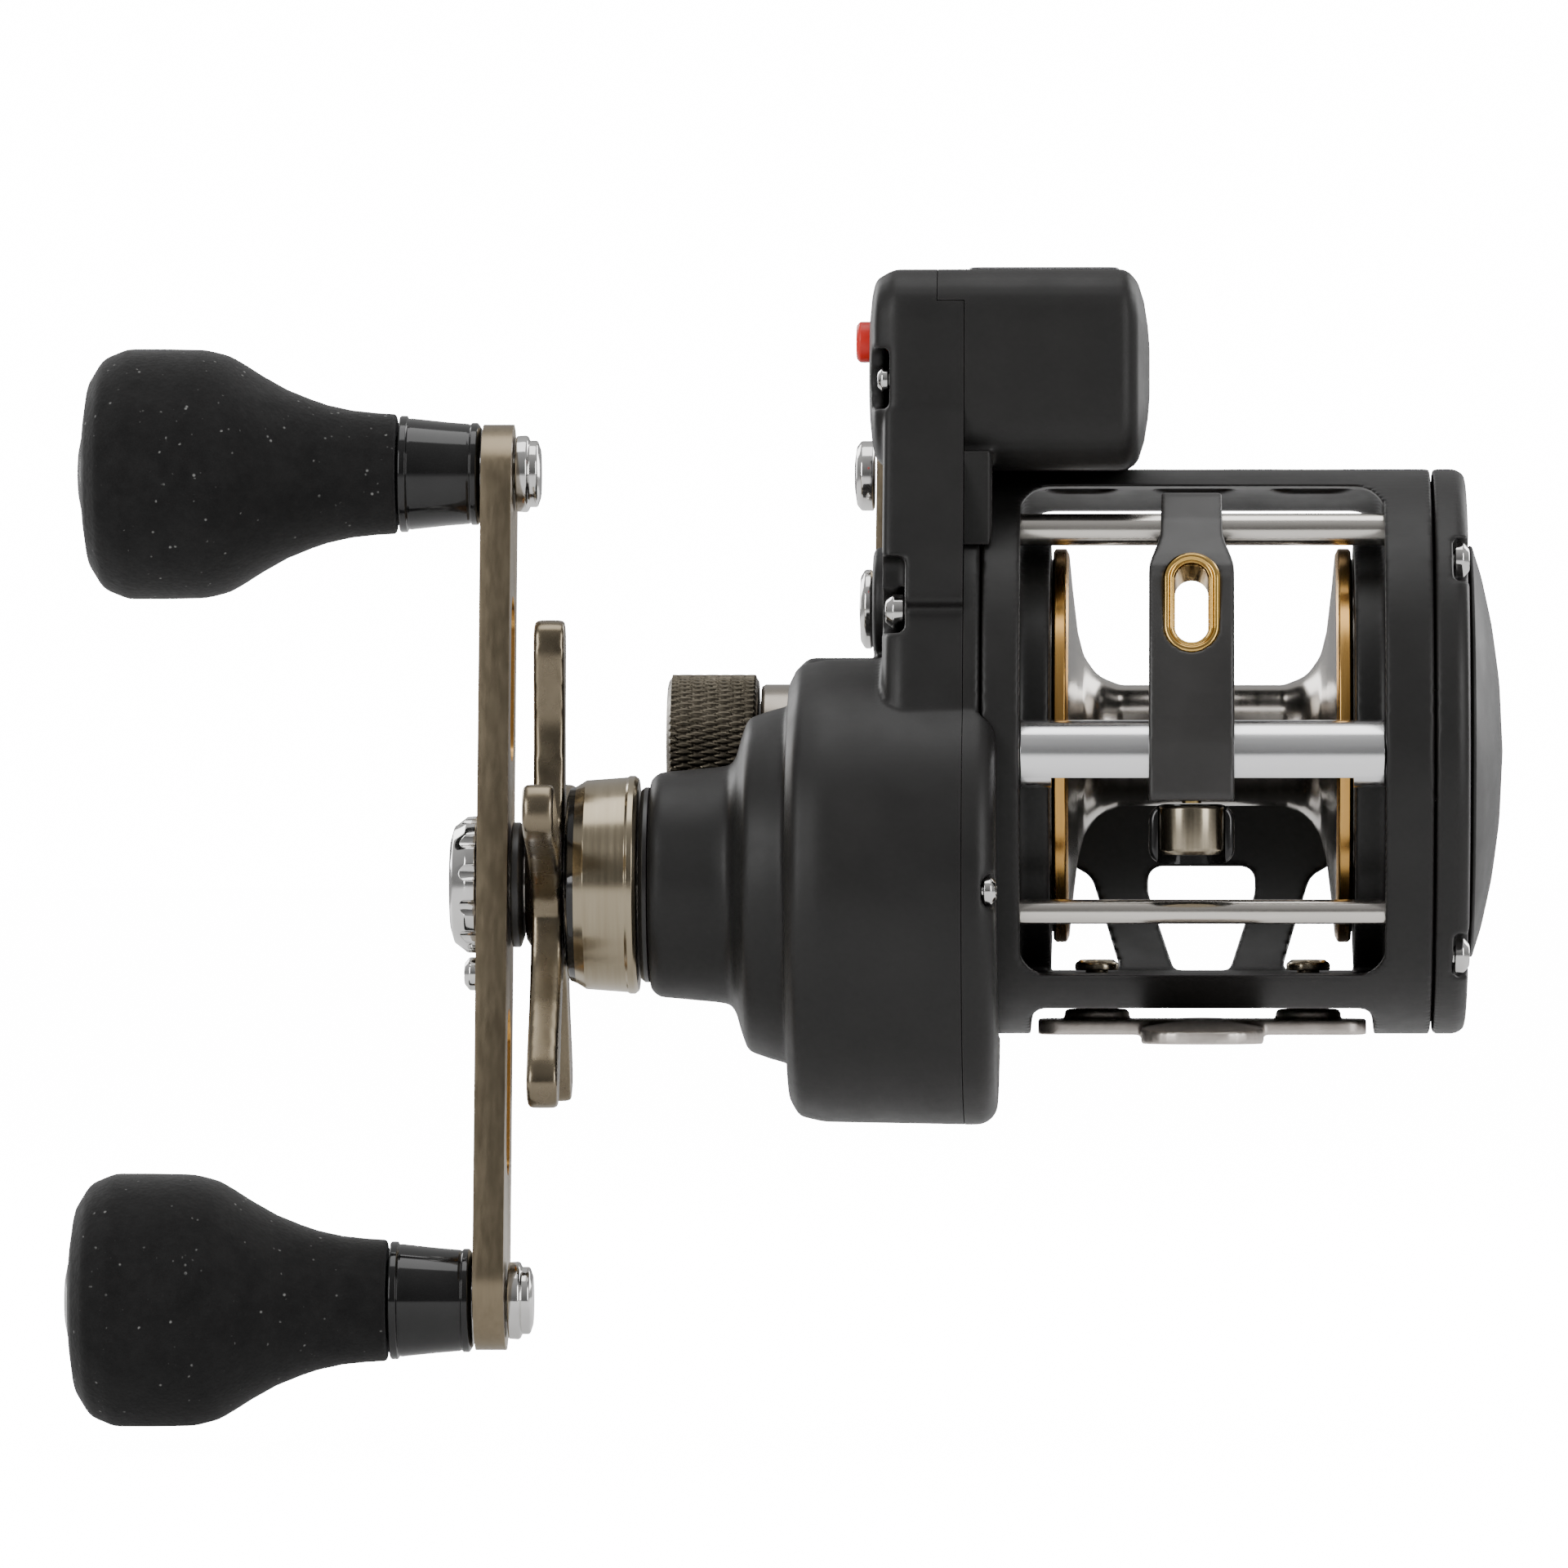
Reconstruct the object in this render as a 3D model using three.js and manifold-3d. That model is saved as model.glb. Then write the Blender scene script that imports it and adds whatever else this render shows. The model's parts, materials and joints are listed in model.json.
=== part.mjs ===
// Level-wind trolling reel with a line counter, a star drag and a double power handle.
// Millimetres, +Z up. X runs along the spool axis: the handle is at -X and the tail plate at +X.
// -Y points along the rod, where the line leaves. The origin is the centre of the foot's underside.

import * as THREE from "three";
import { mergeVertices } from "three/addons/utils/BufferGeometryUtils.js";
import Module from "manifold-3d";

const wasm = await Module();
wasm.setup();

// ---- driving dimensions ------------------------------------------------------------------
const GAP = 0.3; // clearance between pieces that touch
const SPOOL = { y: 0, z: 38.9 }; // spool axis
const BODY = { y: 0, z: 38.1 }; // centre of the round side rings
const DRIVE = { y: -17.5, z: 20.6 }; // crank axis, in front of and below the spool
const DRUM = { y: -17.5, z: 19.8 }; // centre of the gear case drum
const WORM = { y: -32.3, z: 37.7 }; // level-wind worm axis
const RING_R = 37.3; // outer radius of the side rings
const RING_WALL = 2.6; // radial wall of the one-piece frame
const WINDOW_X = 24; // half width of the frame between its rings
const SEAM_X = -31.05; // joint between the gear case and the bridge plate

const CRANK_TILT = THREE.MathUtils.degToRad(-10.5); // the handle's place at rest
const KNOB_REACH = 55; // crank axis to knob axis
const ARM = { width: 18.5, endReach: 52.2, x0: -94.6, x1: -90.6 };

const MODULE = 0.7778; // gear module of the drive pair
const MAIN_TEETH = 55;
const PINION_TEETH = 10;
const WORM_MODULE = 0.7;
const WORM_DRIVE_TEETH = 50;
const WORM_TEETH = 13;
const LEVELWIND_X = { x0: -35.2, x1: -33.7 };

const GUIDE_X = -1.4; // line guide's place at rest
const COUNTER = { y0: -24, y1: 8, z0: 74.9, z1: 101.2, xLeft: -43.7, xRight: -6.9 };
const WHEELS = { y: -8, z: 88.6, r: 9.6, width: 5.4, x: [-25.2, -19.4, -13.6] };
const LENS = { x0: -30.6, x1: -8.8, y0: -17.5, y1: 1.5, z0: 100.3, z1: 101.5 };
const WINDOW = { x0: -28.8, x1: -10.4, y0: -14.4, y1: -1.6 };
const RESET = { y: -13, z: 91.8, r: 2.7 }; // counter reset button

const FLOOR = { z0: 4.4, z1: 8.9 }; // bottom plate of the frame, which carries the foot
const LIP = { x: 19.9, r0: 26.5, r1: 28.4 }; // collar around each spool flange
const RING_X = { left: -28.6, right: 30.0 };
const FRONT_TOP = 72.8; // top edge of the front window
const FOOT_SCREW_X = [-13.9, 14.0];
const FOOT = { armHalf: 8, armReach: 33, plateHalf: 21.6, plateReach: 9.5, lugUnder: 0.8, top: 2.7 };
const UPPER_ROD = { y: -17, z: 67.1, r: 2.1 };
const LOWER_ROD = { y: -27.5, z: 17.2, r: 1.6 };
const ROD_REACH = 24.9; // half length of both rods
const TUBE = { rIn: 3.5, rOut: 4.4, slotHalf: 19.6, slotTop: 34.6 }; // level-wind tube

const DRUM_R = 30.6;
const DRUM_X = -54;
const STEP_R = 22.8;
const NECK_END = -72.2;
const LOBE_R = 11.6; // bulge of the gear case around the spool axis
const PLATE_X = -41.6; // outer face of the gear case above the drum
const WALL = 2.2; // gear case walls
const SIDE_BOSS = { y: 4.5, z: 57.7, r: 7.5, x: -43.6 }; // raised pad in front of the lever
const BRIDGE_SCREW = { y: -46.2, z: 20.0 };
const CASE_SCREWS = {
  counter_screw: { y: -21.2, z: 86.6, face: -42.5, r: 1.6, above: 4.1, below: 3.8 },
  case_screw: { y: -28.6, z: 56.2, face: -41.2, r: 2.35, above: 7.1, below: 2.8 },
};
const SPOOL_BOSS = { x0: -58.2, x1: -54.2, r: 8.1 };
const STEP_LINE = { x: -34.6, z: 96.9 }; // the seam steps sideways under the lens
const FLANGE_R = 26;
const DOME_R = 27.2;
const TAIL_SCREW_Y = -22.6;
const TAIL_SCREWS = { top: 63.0, bottom: 11.5 }; // heights of the cover screws
const CLICKER = { y: 31.4, z: 38.1, travel: 3.3, slotHalf: 5.8 }; // slot centre, reach each way

const LEVER = { y: 18.5, z: 57.2, tipY: 26.5, tipZ: 75.2, x0: -43.6, x1: -42.0 };
const YOKE = { x0: -37.2, x1: -36.2 };
const PINION = { x0: -44.4, x1: -37.6, groove: -35.9, end: -34.6 };
const MAIN_GEAR = { x0: -43, web: -41.1, x1: -39.6 };
const SHAFT_R = 4; // drive shaft
const STAR = { arms: 5, tip: 34.2, x0: -87.3, x1: -83.6 };
const EYE = { y: -33.6, z: 57.4, half: 3.7, tall: 6.95, bore: 2.15, boreTall: 5.4, depth: 7 };
const EYE_LEAN = THREE.MathUtils.degToRad(-20); // the eye's mouth faces a little upwards
const GUIDE_HALF = 5.55;
const PAWL_CAP_Y = WORM.y - 1.2;
const PAWL_CAP_R = 4.35;

// ---- materials ---------------------------------------------------------------------------
const finish = (color, roughness, metalness) => ({ color, roughness, metalness });
const BLACK_PAINT = finish(0x2c2a2a, 0.5, 0.2);
const GLOSS_BLACK = finish(0x121212, 0.15, 0.0);
const SATIN_BLACK = finish(0x1e1d1d, 0.35, 0.0);
const BRONZE = finish(0x5a5446, 0.3, 0.9);
const CHROME = finish(0xc9c9c9, 0.12, 1.0);
const STEEL = finish(0xb4afa8, 0.3, 1.0);
const ALUMINIUM = finish(0xd2d4d8, 0.2, 1.0);
const GUNMETAL = finish(0x4b4741, 0.3, 0.9);
const GOLD = finish(0xc48a1e, 0.25, 0.9);
const BRASS = finish(0xb9923f, 0.35, 0.9);
const FOAM = finish(0x1c1b1b, 0.95, 0.0);
const RED = finish(0xe0332f, 0.4, 0.0);
const SMOKED = finish(0x1a1a1c, 0.05, 0.0);
const WHITE = finish(0xe8e6df, 0.5, 0.0);
const CARBON = finish(0x2a2a2a, 0.7, 0.0);

// ---- solids ------------------------------------------------------------------------------
const axis = (x, y, z) => new THREE.Vector3(x, y, z);
const OUTLINE_YZ = new THREE.Matrix4().makeBasis(axis(0, 1, 0), axis(0, 0, 1), axis(1, 0, 0));
const OUTLINE_XZ = new THREE.Matrix4().makeBasis(axis(1, 0, 0), axis(0, 0, 1), axis(0, -1, 0));

function signedVolume(geometry) {
  const p = geometry.attributes.position;
  const index = geometry.index.array;
  const [a, b, c] = [new THREE.Vector3(), new THREE.Vector3(), new THREE.Vector3()];
  let volume = 0;
  for (let i = 0; i < index.length; i += 3) {
    a.fromBufferAttribute(p, index[i]);
    b.fromBufferAttribute(p, index[i + 1]);
    c.fromBufferAttribute(p, index[i + 2]);
    volume += a.dot(b.cross(c)) / 6;
  }
  return volume;
}

// Any closed three.js geometry as a solid, with its faces turned outwards.
function solid(geometry) {
  const bare = new THREE.BufferGeometry();
  bare.setAttribute("position", geometry.attributes.position);
  bare.setIndex(geometry.index);
  const merged = mergeVertices(bare, 1e-4);
  const triangles = merged.index.array;
  const kept = [];
  for (let i = 0; i < triangles.length; i += 3) {
    const [a, b, c] = triangles.slice(i, i + 3);
    if (a !== b && b !== c && c !== a) kept.push(a, b, c);
  }
  merged.setIndex(kept);
  if (signedVolume(merged) < 0) kept.reverse();
  const vertProperties = new Float32Array(merged.attributes.position.array);
  const mesh = new wasm.Mesh({ numProp: 3, vertProperties, triVerts: new Uint32Array(kept) });
  mesh.merge();
  return new wasm.Manifold(mesh);
}

function toGeometry(manifold) {
  const mesh = manifold.getMesh();
  const geometry = new THREE.BufferGeometry();
  geometry.setAttribute("position", new THREE.BufferAttribute(mesh.vertProperties, 3));
  geometry.setIndex(new THREE.BufferAttribute(mesh.triVerts, 1));
  return geometry;
}

const join = (...parts) => parts.reduce((whole, part) => whole.add(part));
const cut = (body, ...tools) => tools.reduce((rest, tool) => rest.subtract(tool), body);

// A body of revolution about a line parallel to X. Profile points are [x, radius].
function turned(profile, axis, segments = 20) {
  const points = profile.map(([x, r]) => new THREE.Vector2(r, x));
  const geometry = new THREE.LatheGeometry(points, segments);
  geometry.rotateZ(-Math.PI / 2);
  geometry.translate(0, axis.y, axis.z);
  return solid(geometry);
}

const rod = (x0, x1, r, axis, segments = 16) =>
  turned([[x0, 0], [x0, r], [x1, r], [x1, 0]], axis, segments);

const pipe = (x0, x1, rIn, rOut, axis, segments = 16) =>
  turned([[x0, rIn], [x0, rOut], [x1, rOut], [x1, rIn], [x0, rIn]], axis, segments);

// A body of revolution about a line parallel to Z. Profile points are [z, radius].
function turnedZ(profile, x, y, segments = 14) {
  const points = profile.map(([z, r]) => new THREE.Vector2(r, z));
  const geometry = new THREE.LatheGeometry(points, segments);
  geometry.rotateX(Math.PI / 2);
  geometry.translate(x, y, 0);
  return solid(geometry);
}

const postZ = (z0, z1, r, x, y, segments = 12) =>
  turnedZ([[z0, 0], [z0, r], [z1, r], [z1, 0]], x, y, segments);

function box(x0, x1, y0, y1, z0, z1) {
  const geometry = new THREE.BoxGeometry(x1 - x0, y1 - y0, z1 - z0);
  geometry.translate((x0 + x1) / 2, (y0 + y1) / 2, (z0 + z1) / 2);
  return solid(geometry);
}

// An outline in (y, z), extruded along X with rounded edges of the given radius.
function plateX(shape, x0, x1, round = 0, curveSegments = 4) {
  const geometry = new THREE.ExtrudeGeometry(shape, {
    depth: x1 - x0 - 2 * round,
    bevelEnabled: round > 0,
    bevelThickness: round,
    bevelSize: round,
    bevelOffset: -round,
    bevelSegments: 1,
    curveSegments,
  });
  geometry.applyMatrix4(OUTLINE_YZ);
  geometry.translate(x0 + round, 0, 0);
  return solid(geometry);
}

// An outline in (x, z), extruded along Y.
function plateY(shape, y0, y1, curveSegments = 3) {
  const geometry = new THREE.ExtrudeGeometry(shape, { depth: y1 - y0, bevelEnabled: false, curveSegments });
  geometry.applyMatrix4(OUTLINE_XZ);
  geometry.translate(0, y1, 0);
  return solid(geometry);
}

// An outline in (x, y), extruded up Z with rounded edges.
function plateZ(shape, z0, z1, round = 0, curveSegments = 3) {
  const geometry = new THREE.ExtrudeGeometry(shape, {
    depth: z1 - z0 - 2 * round,
    bevelEnabled: round > 0,
    bevelThickness: round,
    bevelSize: round,
    bevelOffset: -round,
    bevelSegments: 1,
    curveSegments,
  });
  geometry.translate(0, 0, z0 + round);
  return solid(geometry);
}

function roundedRect(u0, u1, v0, v1, r) {
  const shape = new THREE.Shape();
  shape.moveTo(u0 + r, v0);
  shape.lineTo(u1 - r, v0);
  shape.absarc(u1 - r, v0 + r, r, -Math.PI / 2, 0);
  shape.lineTo(u1, v1 - r);
  shape.absarc(u1 - r, v1 - r, r, 0, Math.PI / 2);
  shape.lineTo(u0 + r, v1);
  shape.absarc(u0 + r, v1 - r, r, Math.PI / 2, Math.PI);
  shape.lineTo(u0, v0 + r);
  shape.absarc(u0 + r, v0 + r, r, Math.PI, 1.5 * Math.PI);
  return shape;
}

function polygon(points) {
  return new THREE.Shape(points.map(([u, v]) => new THREE.Vector2(u, v)));
}

// ---- scene -------------------------------------------------------------------------------
const reel = new THREE.Group();

function piece(name, manifold, look, parent = reel) {
  const mesh = new THREE.Mesh(toGeometry(manifold), new THREE.MeshStandardMaterial(look));
  mesh.name = name;
  parent.add(mesh);
  return mesh;
}

// ---- gears: straight teeth with free play, phase is the angle of one tooth ----------------
function gearShape(teeth, module, centre, phase) {
  const pitch = (module * teeth) / 2;
  const tip = pitch + 0.75 * module;
  const root = pitch - 1.1 * module;
  const step = (2 * Math.PI) / teeth;
  const halfAtRoot = (0.8 * module) / root;
  const points = [];
  for (let i = 0; i < teeth; i++) {
    const middle = phase + i * step;
    const corners = [[root, -halfAtRoot], [tip, 0], [root, halfAtRoot]];
    for (const [r, offset] of corners) {
      const angle = middle + offset;
      points.push([centre.y + r * Math.cos(angle), centre.z + r * Math.sin(angle)]);
    }
  }
  return polygon(points);
}

const angleTo = (from, to) => Math.atan2(to.z - from.z, to.y - from.y);
const meshingPhase = (from, to, teeth) => angleTo(to, from) + Math.PI / teeth;

// ---- frame: one tube with windows, two side rings and a bottom plate -----------------------
function sideRing(side, outerX) {
  const [lip, web, inner, outer] = [LIP.x, WINDOW_X + 1.8, WINDOW_X, Math.abs(outerX)];
  const rimIn = RING_R - RING_WALL;
  const profile = [
    [lip, LIP.r0], [web, LIP.r0], [web, rimIn], [outer, rimIn], [outer, RING_R],
    [inner, RING_R], [inner, LIP.r1], [lip, LIP.r1], [lip, LIP.r0],
  ];
  return turned(profile.map(([x, r]) => [side * x, r]), BODY, 28);
}

function windowedTube() {
  const W = WINDOW_X;
  const tube = pipe(-W - 0.4, W + 0.4, RING_R - RING_WALL, RING_R, BODY, 28);
  const frontWindow = plateY(roundedRect(-W, W, FLOOR.z1, FRONT_TOP, 4), -60, 0);
  const rearWindow = plateY(roundedRect(-W, W, 32.2, 70.2, 4), 0, 60);
  const underside = plateY(roundedRect(-22.6, 22.6, -10, FLOOR.z0, 2), -60, 60);
  const webOpening = plateY(roundedRect(-W, W, FLOOR.z1, 22.9, 1.5), 0, 60);
  const legs = polygon([
    [-17.5, 24], [-17.1, 22.6], [-15.0, 21.3], [-13.8, 18.0], [-9.7, 5],
    [9.5, 5], [13.5, 18.0], [14.7, 21.3], [16.8, 22.6], [17.2, 24],
  ]);
  const betweenLegs = polygon([
    [-6.4, 22.7], [-7.1, 21.8], [-7.1, 19.1], [-2.4, 5], [2.4, 5], [7.0, 19.1], [7.0, 21.8], [6.3, 22.7],
  ]);
  const legBand = cut(plateY(legs, 0, 60), plateY(betweenLegs, -1, 61));
  return cut(tube, frontWindow, rearWindow, underside, cut(webOpening, legBand));
}

function frame() {
  const W = WINDOW_X;
  const floorPlate = box(-W - 0.4, W + 0.4, -22, 22, FLOOR.z0, FLOOR.z1);
  const floor = floorPlate.intersect(rod(-W - 1, W + 1, RING_R, BODY, 28));
  const rings = [sideRing(-1, RING_X.left), sideRing(1, RING_X.right)];
  let body = join(windowedTube(), floor, ...rings);
  for (const [x, length] of [[-16, 9], [-1, 10], [14.5, 10]]) {
    const slot = roundedRect(x - length / 2, x + length / 2, -1, 5.5, 2.6);
    body = cut(body, plateZ(slot, 65, 80));
  }
  for (const x of FOOT_SCREW_X) body = cut(body, postZ(0, 12, 2.1, x, 0));
  for (const side of [-1, 1]) {
    const [x0, x1] = [side * (W - 1), side * (W + 1.2)].sort((a, b) => a - b);
    body = cut(body, rod(x0, x1, UPPER_ROD.r + GAP, UPPER_ROD), rod(x0, x1, LOWER_ROD.r + GAP, LOWER_ROD));
  }
  const wormHole = rod(-W - 6, -W + 1, 3.4, WORM);
  const tubeClearance = rod(-W, W, TUBE.rOut + GAP, WORM, 20);
  return cut(body, wormHole, tubeClearance);
}

piece("frame", frame(), BLACK_PAINT);
piece("upper_guide_rod", rod(-ROD_REACH, ROD_REACH, UPPER_ROD.r, UPPER_ROD, 14), STEEL);
piece("lower_guard_rod", rod(-ROD_REACH, ROD_REACH, LOWER_ROD.r, LOWER_ROD, 14), STEEL);

const wormTube = pipe(-WINDOW_X + GAP, WINDOW_X - GAP, TUBE.rIn, TUBE.rOut, WORM, 20);
const tubeSlot = box(-TUBE.slotHalf, TUBE.slotHalf, WORM.y - 8, WORM.y + 8, WORM.z - 8, TUBE.slotTop);
piece("levelwind_tube", cut(wormTube, tubeSlot), ALUMINIUM);

// ---- foot ----------------------------------------------------------------------------------
function footShape() {
  const { armHalf: a, armReach: reach, plateHalf: p, plateReach: q } = FOOT;
  const arm = plateZ(roundedRect(-a, a, -reach, reach, 6), 0, FOOT.top, 0.5, 4);
  const plate = plateZ(roundedRect(-p, p, -q, q, 3), FOOT.lugUnder, FOOT.top, 0.4, 3);
  const spacerTop = FLOOR.z0 - GAP;
  const spacer = [[1.2, 0], [1.2, 4.3], [FOOT.top + 0.9, 4.3], [spacerTop, 4.0], [spacerTop, 0]];
  const spacers = FOOT_SCREW_X.map((x) => turnedZ(spacer, x, 0, 14));
  return cut(join(arm, plate, ...spacers), ...FOOT_SCREW_X.map((x) => postZ(-1, 5, 1.8, x, 0)));
}

function footScrew(x) {
  const { z0, z1 } = FLOOR;
  const profile = [
    [FOOT.top - 1.6, 0], [FOOT.top - 1.6, 1.5], [z1 + GAP, 1.5], [z1 + GAP, 2.9], [z1 + 1.3, 2.9],
    [z1 + 1.7, 2.4], [z1 + 1.7, 1.3], [z0 + 3.4, 1.3], [z0 + 3.4, 0],
  ];
  return turnedZ(profile, x, 0);
}

piece("reel_foot", footShape(), STEEL);
FOOT_SCREW_X.forEach((x, i) => piece(`foot_screw_${["left", "right"][i]}`, footScrew(x), CHROME));

// ---- spool ---------------------------------------------------------------------------------
function spoolBody() {
  const half = [[0, 8], [10.5, 8], [13.8, 9], [15.6, 11], [16.4, 14.5], [17.1, 21], [17.4, 25.2]];
  const skirt = [[19.6, 24.6], [21, 24.6], [21, 22.4]];
  const outer = [[18.3, FLANGE_R], [19.6, FLANGE_R], ...skirt, [18.5, 21], [18.3, 3.1]];
  const right = [...half.slice(1), ...outer];
  const mirrored = right.map(([x, r]) => [-x, r]).reverse();
  const loop = [...mirrored, half[0], ...right, mirrored[0]];
  return turned(loop, SPOOL, 28);
}

const spoolShaft = [
  [-68.2, 0], [-68.2, 1.75], [-31.5, 1.75], [-31.0, 2.3], [-19.3, 2.8], [19.3, 2.8], [26, 2.3],
  [33, 1.75], [33, 0],
];
piece("spool", spoolBody(), GUNMETAL);
piece("spool_shaft", turned(spoolShaft, SPOOL, 14), STEEL);
piece("spool_bearing_left", pipe(-30.6, -28.2, 2.75, 5, SPOOL, 16), STEEL);
piece("spool_bearing_right", pipe(28.6, 31.0, 2.55, 5, SPOOL, 16), STEEL);

// ---- tail side -----------------------------------------------------------------------------
const capScrew = (x0, x1, r, axis, shankX, shankR = 1.2) => {
  const [face, step] = x1 > x0 ? [x1, x1 - 0.5] : [x1, x1 + 0.5];
  const profile = [
    [shankX, 0], [shankX, shankR], [x0, shankR], [x0, r], [step, r], [face, r - 0.5], [face, 0],
  ];
  return turned(profile, axis, 12);
};

function tailPlate() {
  const face = turned([
    [34.7, 0], [34.7, 36.2], [34.3, 37.0], [33.5, RING_R],
    [30.3, RING_R], [30.3, 34.8], [32.2, 34.8], [32.2, 0],
  ], BODY, 28);
  const boss = rod(28.6, 33, 7.4, SPOOL, 16);
  const openings = [rod(28, 31.4, 5.3, SPOOL, 16), rod(28, 36, 2.4, SPOOL, 12)];
  for (const z of Object.values(TAIL_SCREWS)) {
    const at = { y: TAIL_SCREW_Y, z };
    const notch = box(32.6, 36, -45, TAIL_SCREW_Y, z - 2.9, z + 2.9);
    openings.push(rod(32.6, 36, 2.9, at, 14), notch, rod(30, 33, 1.5, at, 10));
  }
  const { y, z, slotHalf } = CLICKER;
  openings.push(plateX(roundedRect(y - 1.4, y + 1.4, z - slotHalf, z + slotHalf, 0.6), 30, 36));
  return cut(join(face, boss), ...openings);
}

function tailCover() {
  const skin = [[35.0, DOME_R], [35.6, DOME_R], [36.8, 23.3], [38.2, 16.9], [39.2, 9.6], [39.7, 0]];
  const inside = [[38.4, 0], [37.5, 12], [35.0, 25.6]];
  return turned([...inside, ...skin], BODY, 28);
}

piece("tail_plate", tailPlate(), BLACK_PAINT);
piece("tail_cover", tailCover(), BLACK_PAINT);
for (const [name, z] of Object.entries(TAIL_SCREWS)) {
  piece(`tail_screw_${name}`, capScrew(32.9, 34.9, 2.35, { y: TAIL_SCREW_Y, z }, 30.6), CHROME);
}

function clickerButton() {
  const [y, z] = [CLICKER.y, CLICKER.z - CLICKER.travel];
  const stem = box(30.6, 35.6, y - 1, y + 1, z - 1.6, z + 1.6);
  const cap = plateX(roundedRect(y - 2.6, y + 2.6, z - 2.6, z + 2.6, 1.2), 35.2, 37.2, 0.5, 2);
  return join(stem, cap);
}
piece("clicker_button", clickerButton(), GLOSS_BLACK);

// ---- handle side: bridge plate and gear case -------------------------------------------------
function bridgePlate() {
  const lipX = -26.7;
  const ringPart = rod(SEAM_X + GAP / 2, -28.9, RING_R, BODY, 28);
  const x0 = SEAM_X + GAP / 2;
  const drumEdge = [[x0, 0], [x0, DRUM_R], [lipX - 1.4, DRUM_R], [lipX, DRUM_R - 1.4], [lipX, 0]];
  const drumPart = cut(turned(drumEdge, DRUM, 28), rod(-28.9, -20, RING_R + GAP, BODY, 28));
  const boss = rod(-33.2, -29, 7.2, DRIVE, 16);
  const body = join(ringPart, drumPart, boss);
  const bearingSeat = rod(-33, -20, 5.3, SPOOL, 16);
  const shaftSocket = rod(-34, -29.6, 4.35, DRIVE, 16);
  const screwSeat = rod(-28.4, -25, 2.1, BRIDGE_SCREW, 12);
  const screwHole = rod(-29.4, -20, 1.2, BRIDGE_SCREW, 8);
  const wormHole = rod(-33, -20, 3.4, WORM);
  return cut(body, bearingSeat, shaftSocket, screwSeat, screwHole, wormHole);
}

// Side profile of the counter housing.
const counterOutline = () => roundedRect(COUNTER.y0, COUNTER.y1, COUNTER.z0, COUNTER.z1, 6.5);
const counterHollow = () => roundedRect(COUNTER.y0 + 2, COUNTER.y1 - 2, COUNTER.z0 + 2, COUNTER.z1 - 2, 5);

const podEnd = [
  [-60, 0], [-60, 30], [-15.8, 30], [-12.4, 24], [-9.9, 18.5], [-8.2, 12], [-7.2, 6], [COUNTER.xRight, 0],
];
const counterPod = () => plateX(counterOutline(), COUNTER.xLeft, COUNTER.xRight, 2.4, 6)
  .intersect(turned(podEnd, WHEELS, 24));
const leftOfSeam = (grow) =>
  box(-60, SEAM_X - grow, -60, 60, 60, 120)
    .subtract(box(STEP_LINE.x - grow, 0, -60, 60, STEP_LINE.z - grow, 120));

function gearCase() {
  const x1 = SEAM_X - GAP / 2;
  const drumProfile = [
    [x1, 0], [x1, DRUM_R], [DRUM_X + 4, DRUM_R - 0.3],
    [DRUM_X + 1.6, DRUM_R - 1.1], [DRUM_X, DRUM_R - 3.2], [DRUM_X, 0],
  ];
  const stepProfile = [
    [DRUM_X + 1, 0], [DRUM_X + 1, STEP_R + 0.3], [-56.5, STEP_R],
    [-59.2, STEP_R - 1], [-60.3, STEP_R - 3.6], [-60.8, 17], [-61.5, 15.7], [-63.5, 15.4],
    [NECK_END + 1, 14.7], [NECK_END, 13.6], [NECK_END, 0],
  ];
  const lobeProfile = [[x1, 0], [x1, LOBE_R], [DRUM_X + 2, LOBE_R], [DRUM_X, LOBE_R - 2], [DRUM_X, 0]];
  const sideProfile = [
    [x1, 0], [x1, RING_R], [PLATE_X + 3, RING_R],
    [PLATE_X + 0.9, RING_R - 0.9], [PLATE_X, RING_R - 3], [PLATE_X, 0],
  ];
  const neck = plateX(polygon([[-33, 58], [-23.6, 84], [7.6, 84], [10, 66]]), PLATE_X, x1, 1.2);
  const pod = counterPod().intersect(leftOfSeam(GAP / 2));
  const sideBoss = rod(SIDE_BOSS.x, PLATE_X + 1, SIDE_BOSS.r, SIDE_BOSS, 20);
  const rounds = [
    turned(drumProfile, DRUM, 28), turned(stepProfile, DRIVE, 24), turned(lobeProfile, SPOOL, 24),
    turned(sideProfile, BODY, 28),
  ];
  const outside = join(...rounds, neck, pod, sideBoss);

  const drumHollow = rod(DRUM_X + WALL, x1 + 1, DRUM_R - WALL, DRUM, 28);
  const lobeHollow = rod(DRUM_X + WALL, x1 + 1, LOBE_R - WALL, SPOOL, 20);
  const sideHollow = rod(PLATE_X + WALL, x1 + 1, RING_R - WALL, BODY, 28);
  const underStep = box(-40, -25, -30, 20, 76, 98);
  const podSpace = plateX(counterHollow(), COUNTER.xLeft + WALL, x1 + 5);
  const podHollow = podSpace.intersect(leftOfSeam(GAP / 2).add(underStep));
  const neckBore = rod(-75, DRUM_X + 3, 8.3, DRIVE, 20);
  const knobRelief = rod(-75, DRUM_X, 10.2, SPOOL, 20);
  const shaftHole = rod(DRUM_X - 2, DRUM_X + 3, 4.7, SPOOL, 16);
  const buttonHole = rod(-50, -39, RESET.r + GAP, RESET, 14);
  const hollows = [drumHollow, lobeHollow, sideHollow, podHollow];
  const bores = [neckBore, knobRelief, shaftHole, buttonHole];
  return cut(outside, ...hollows, ...bores, ...caseScrewPockets());
}

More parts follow.
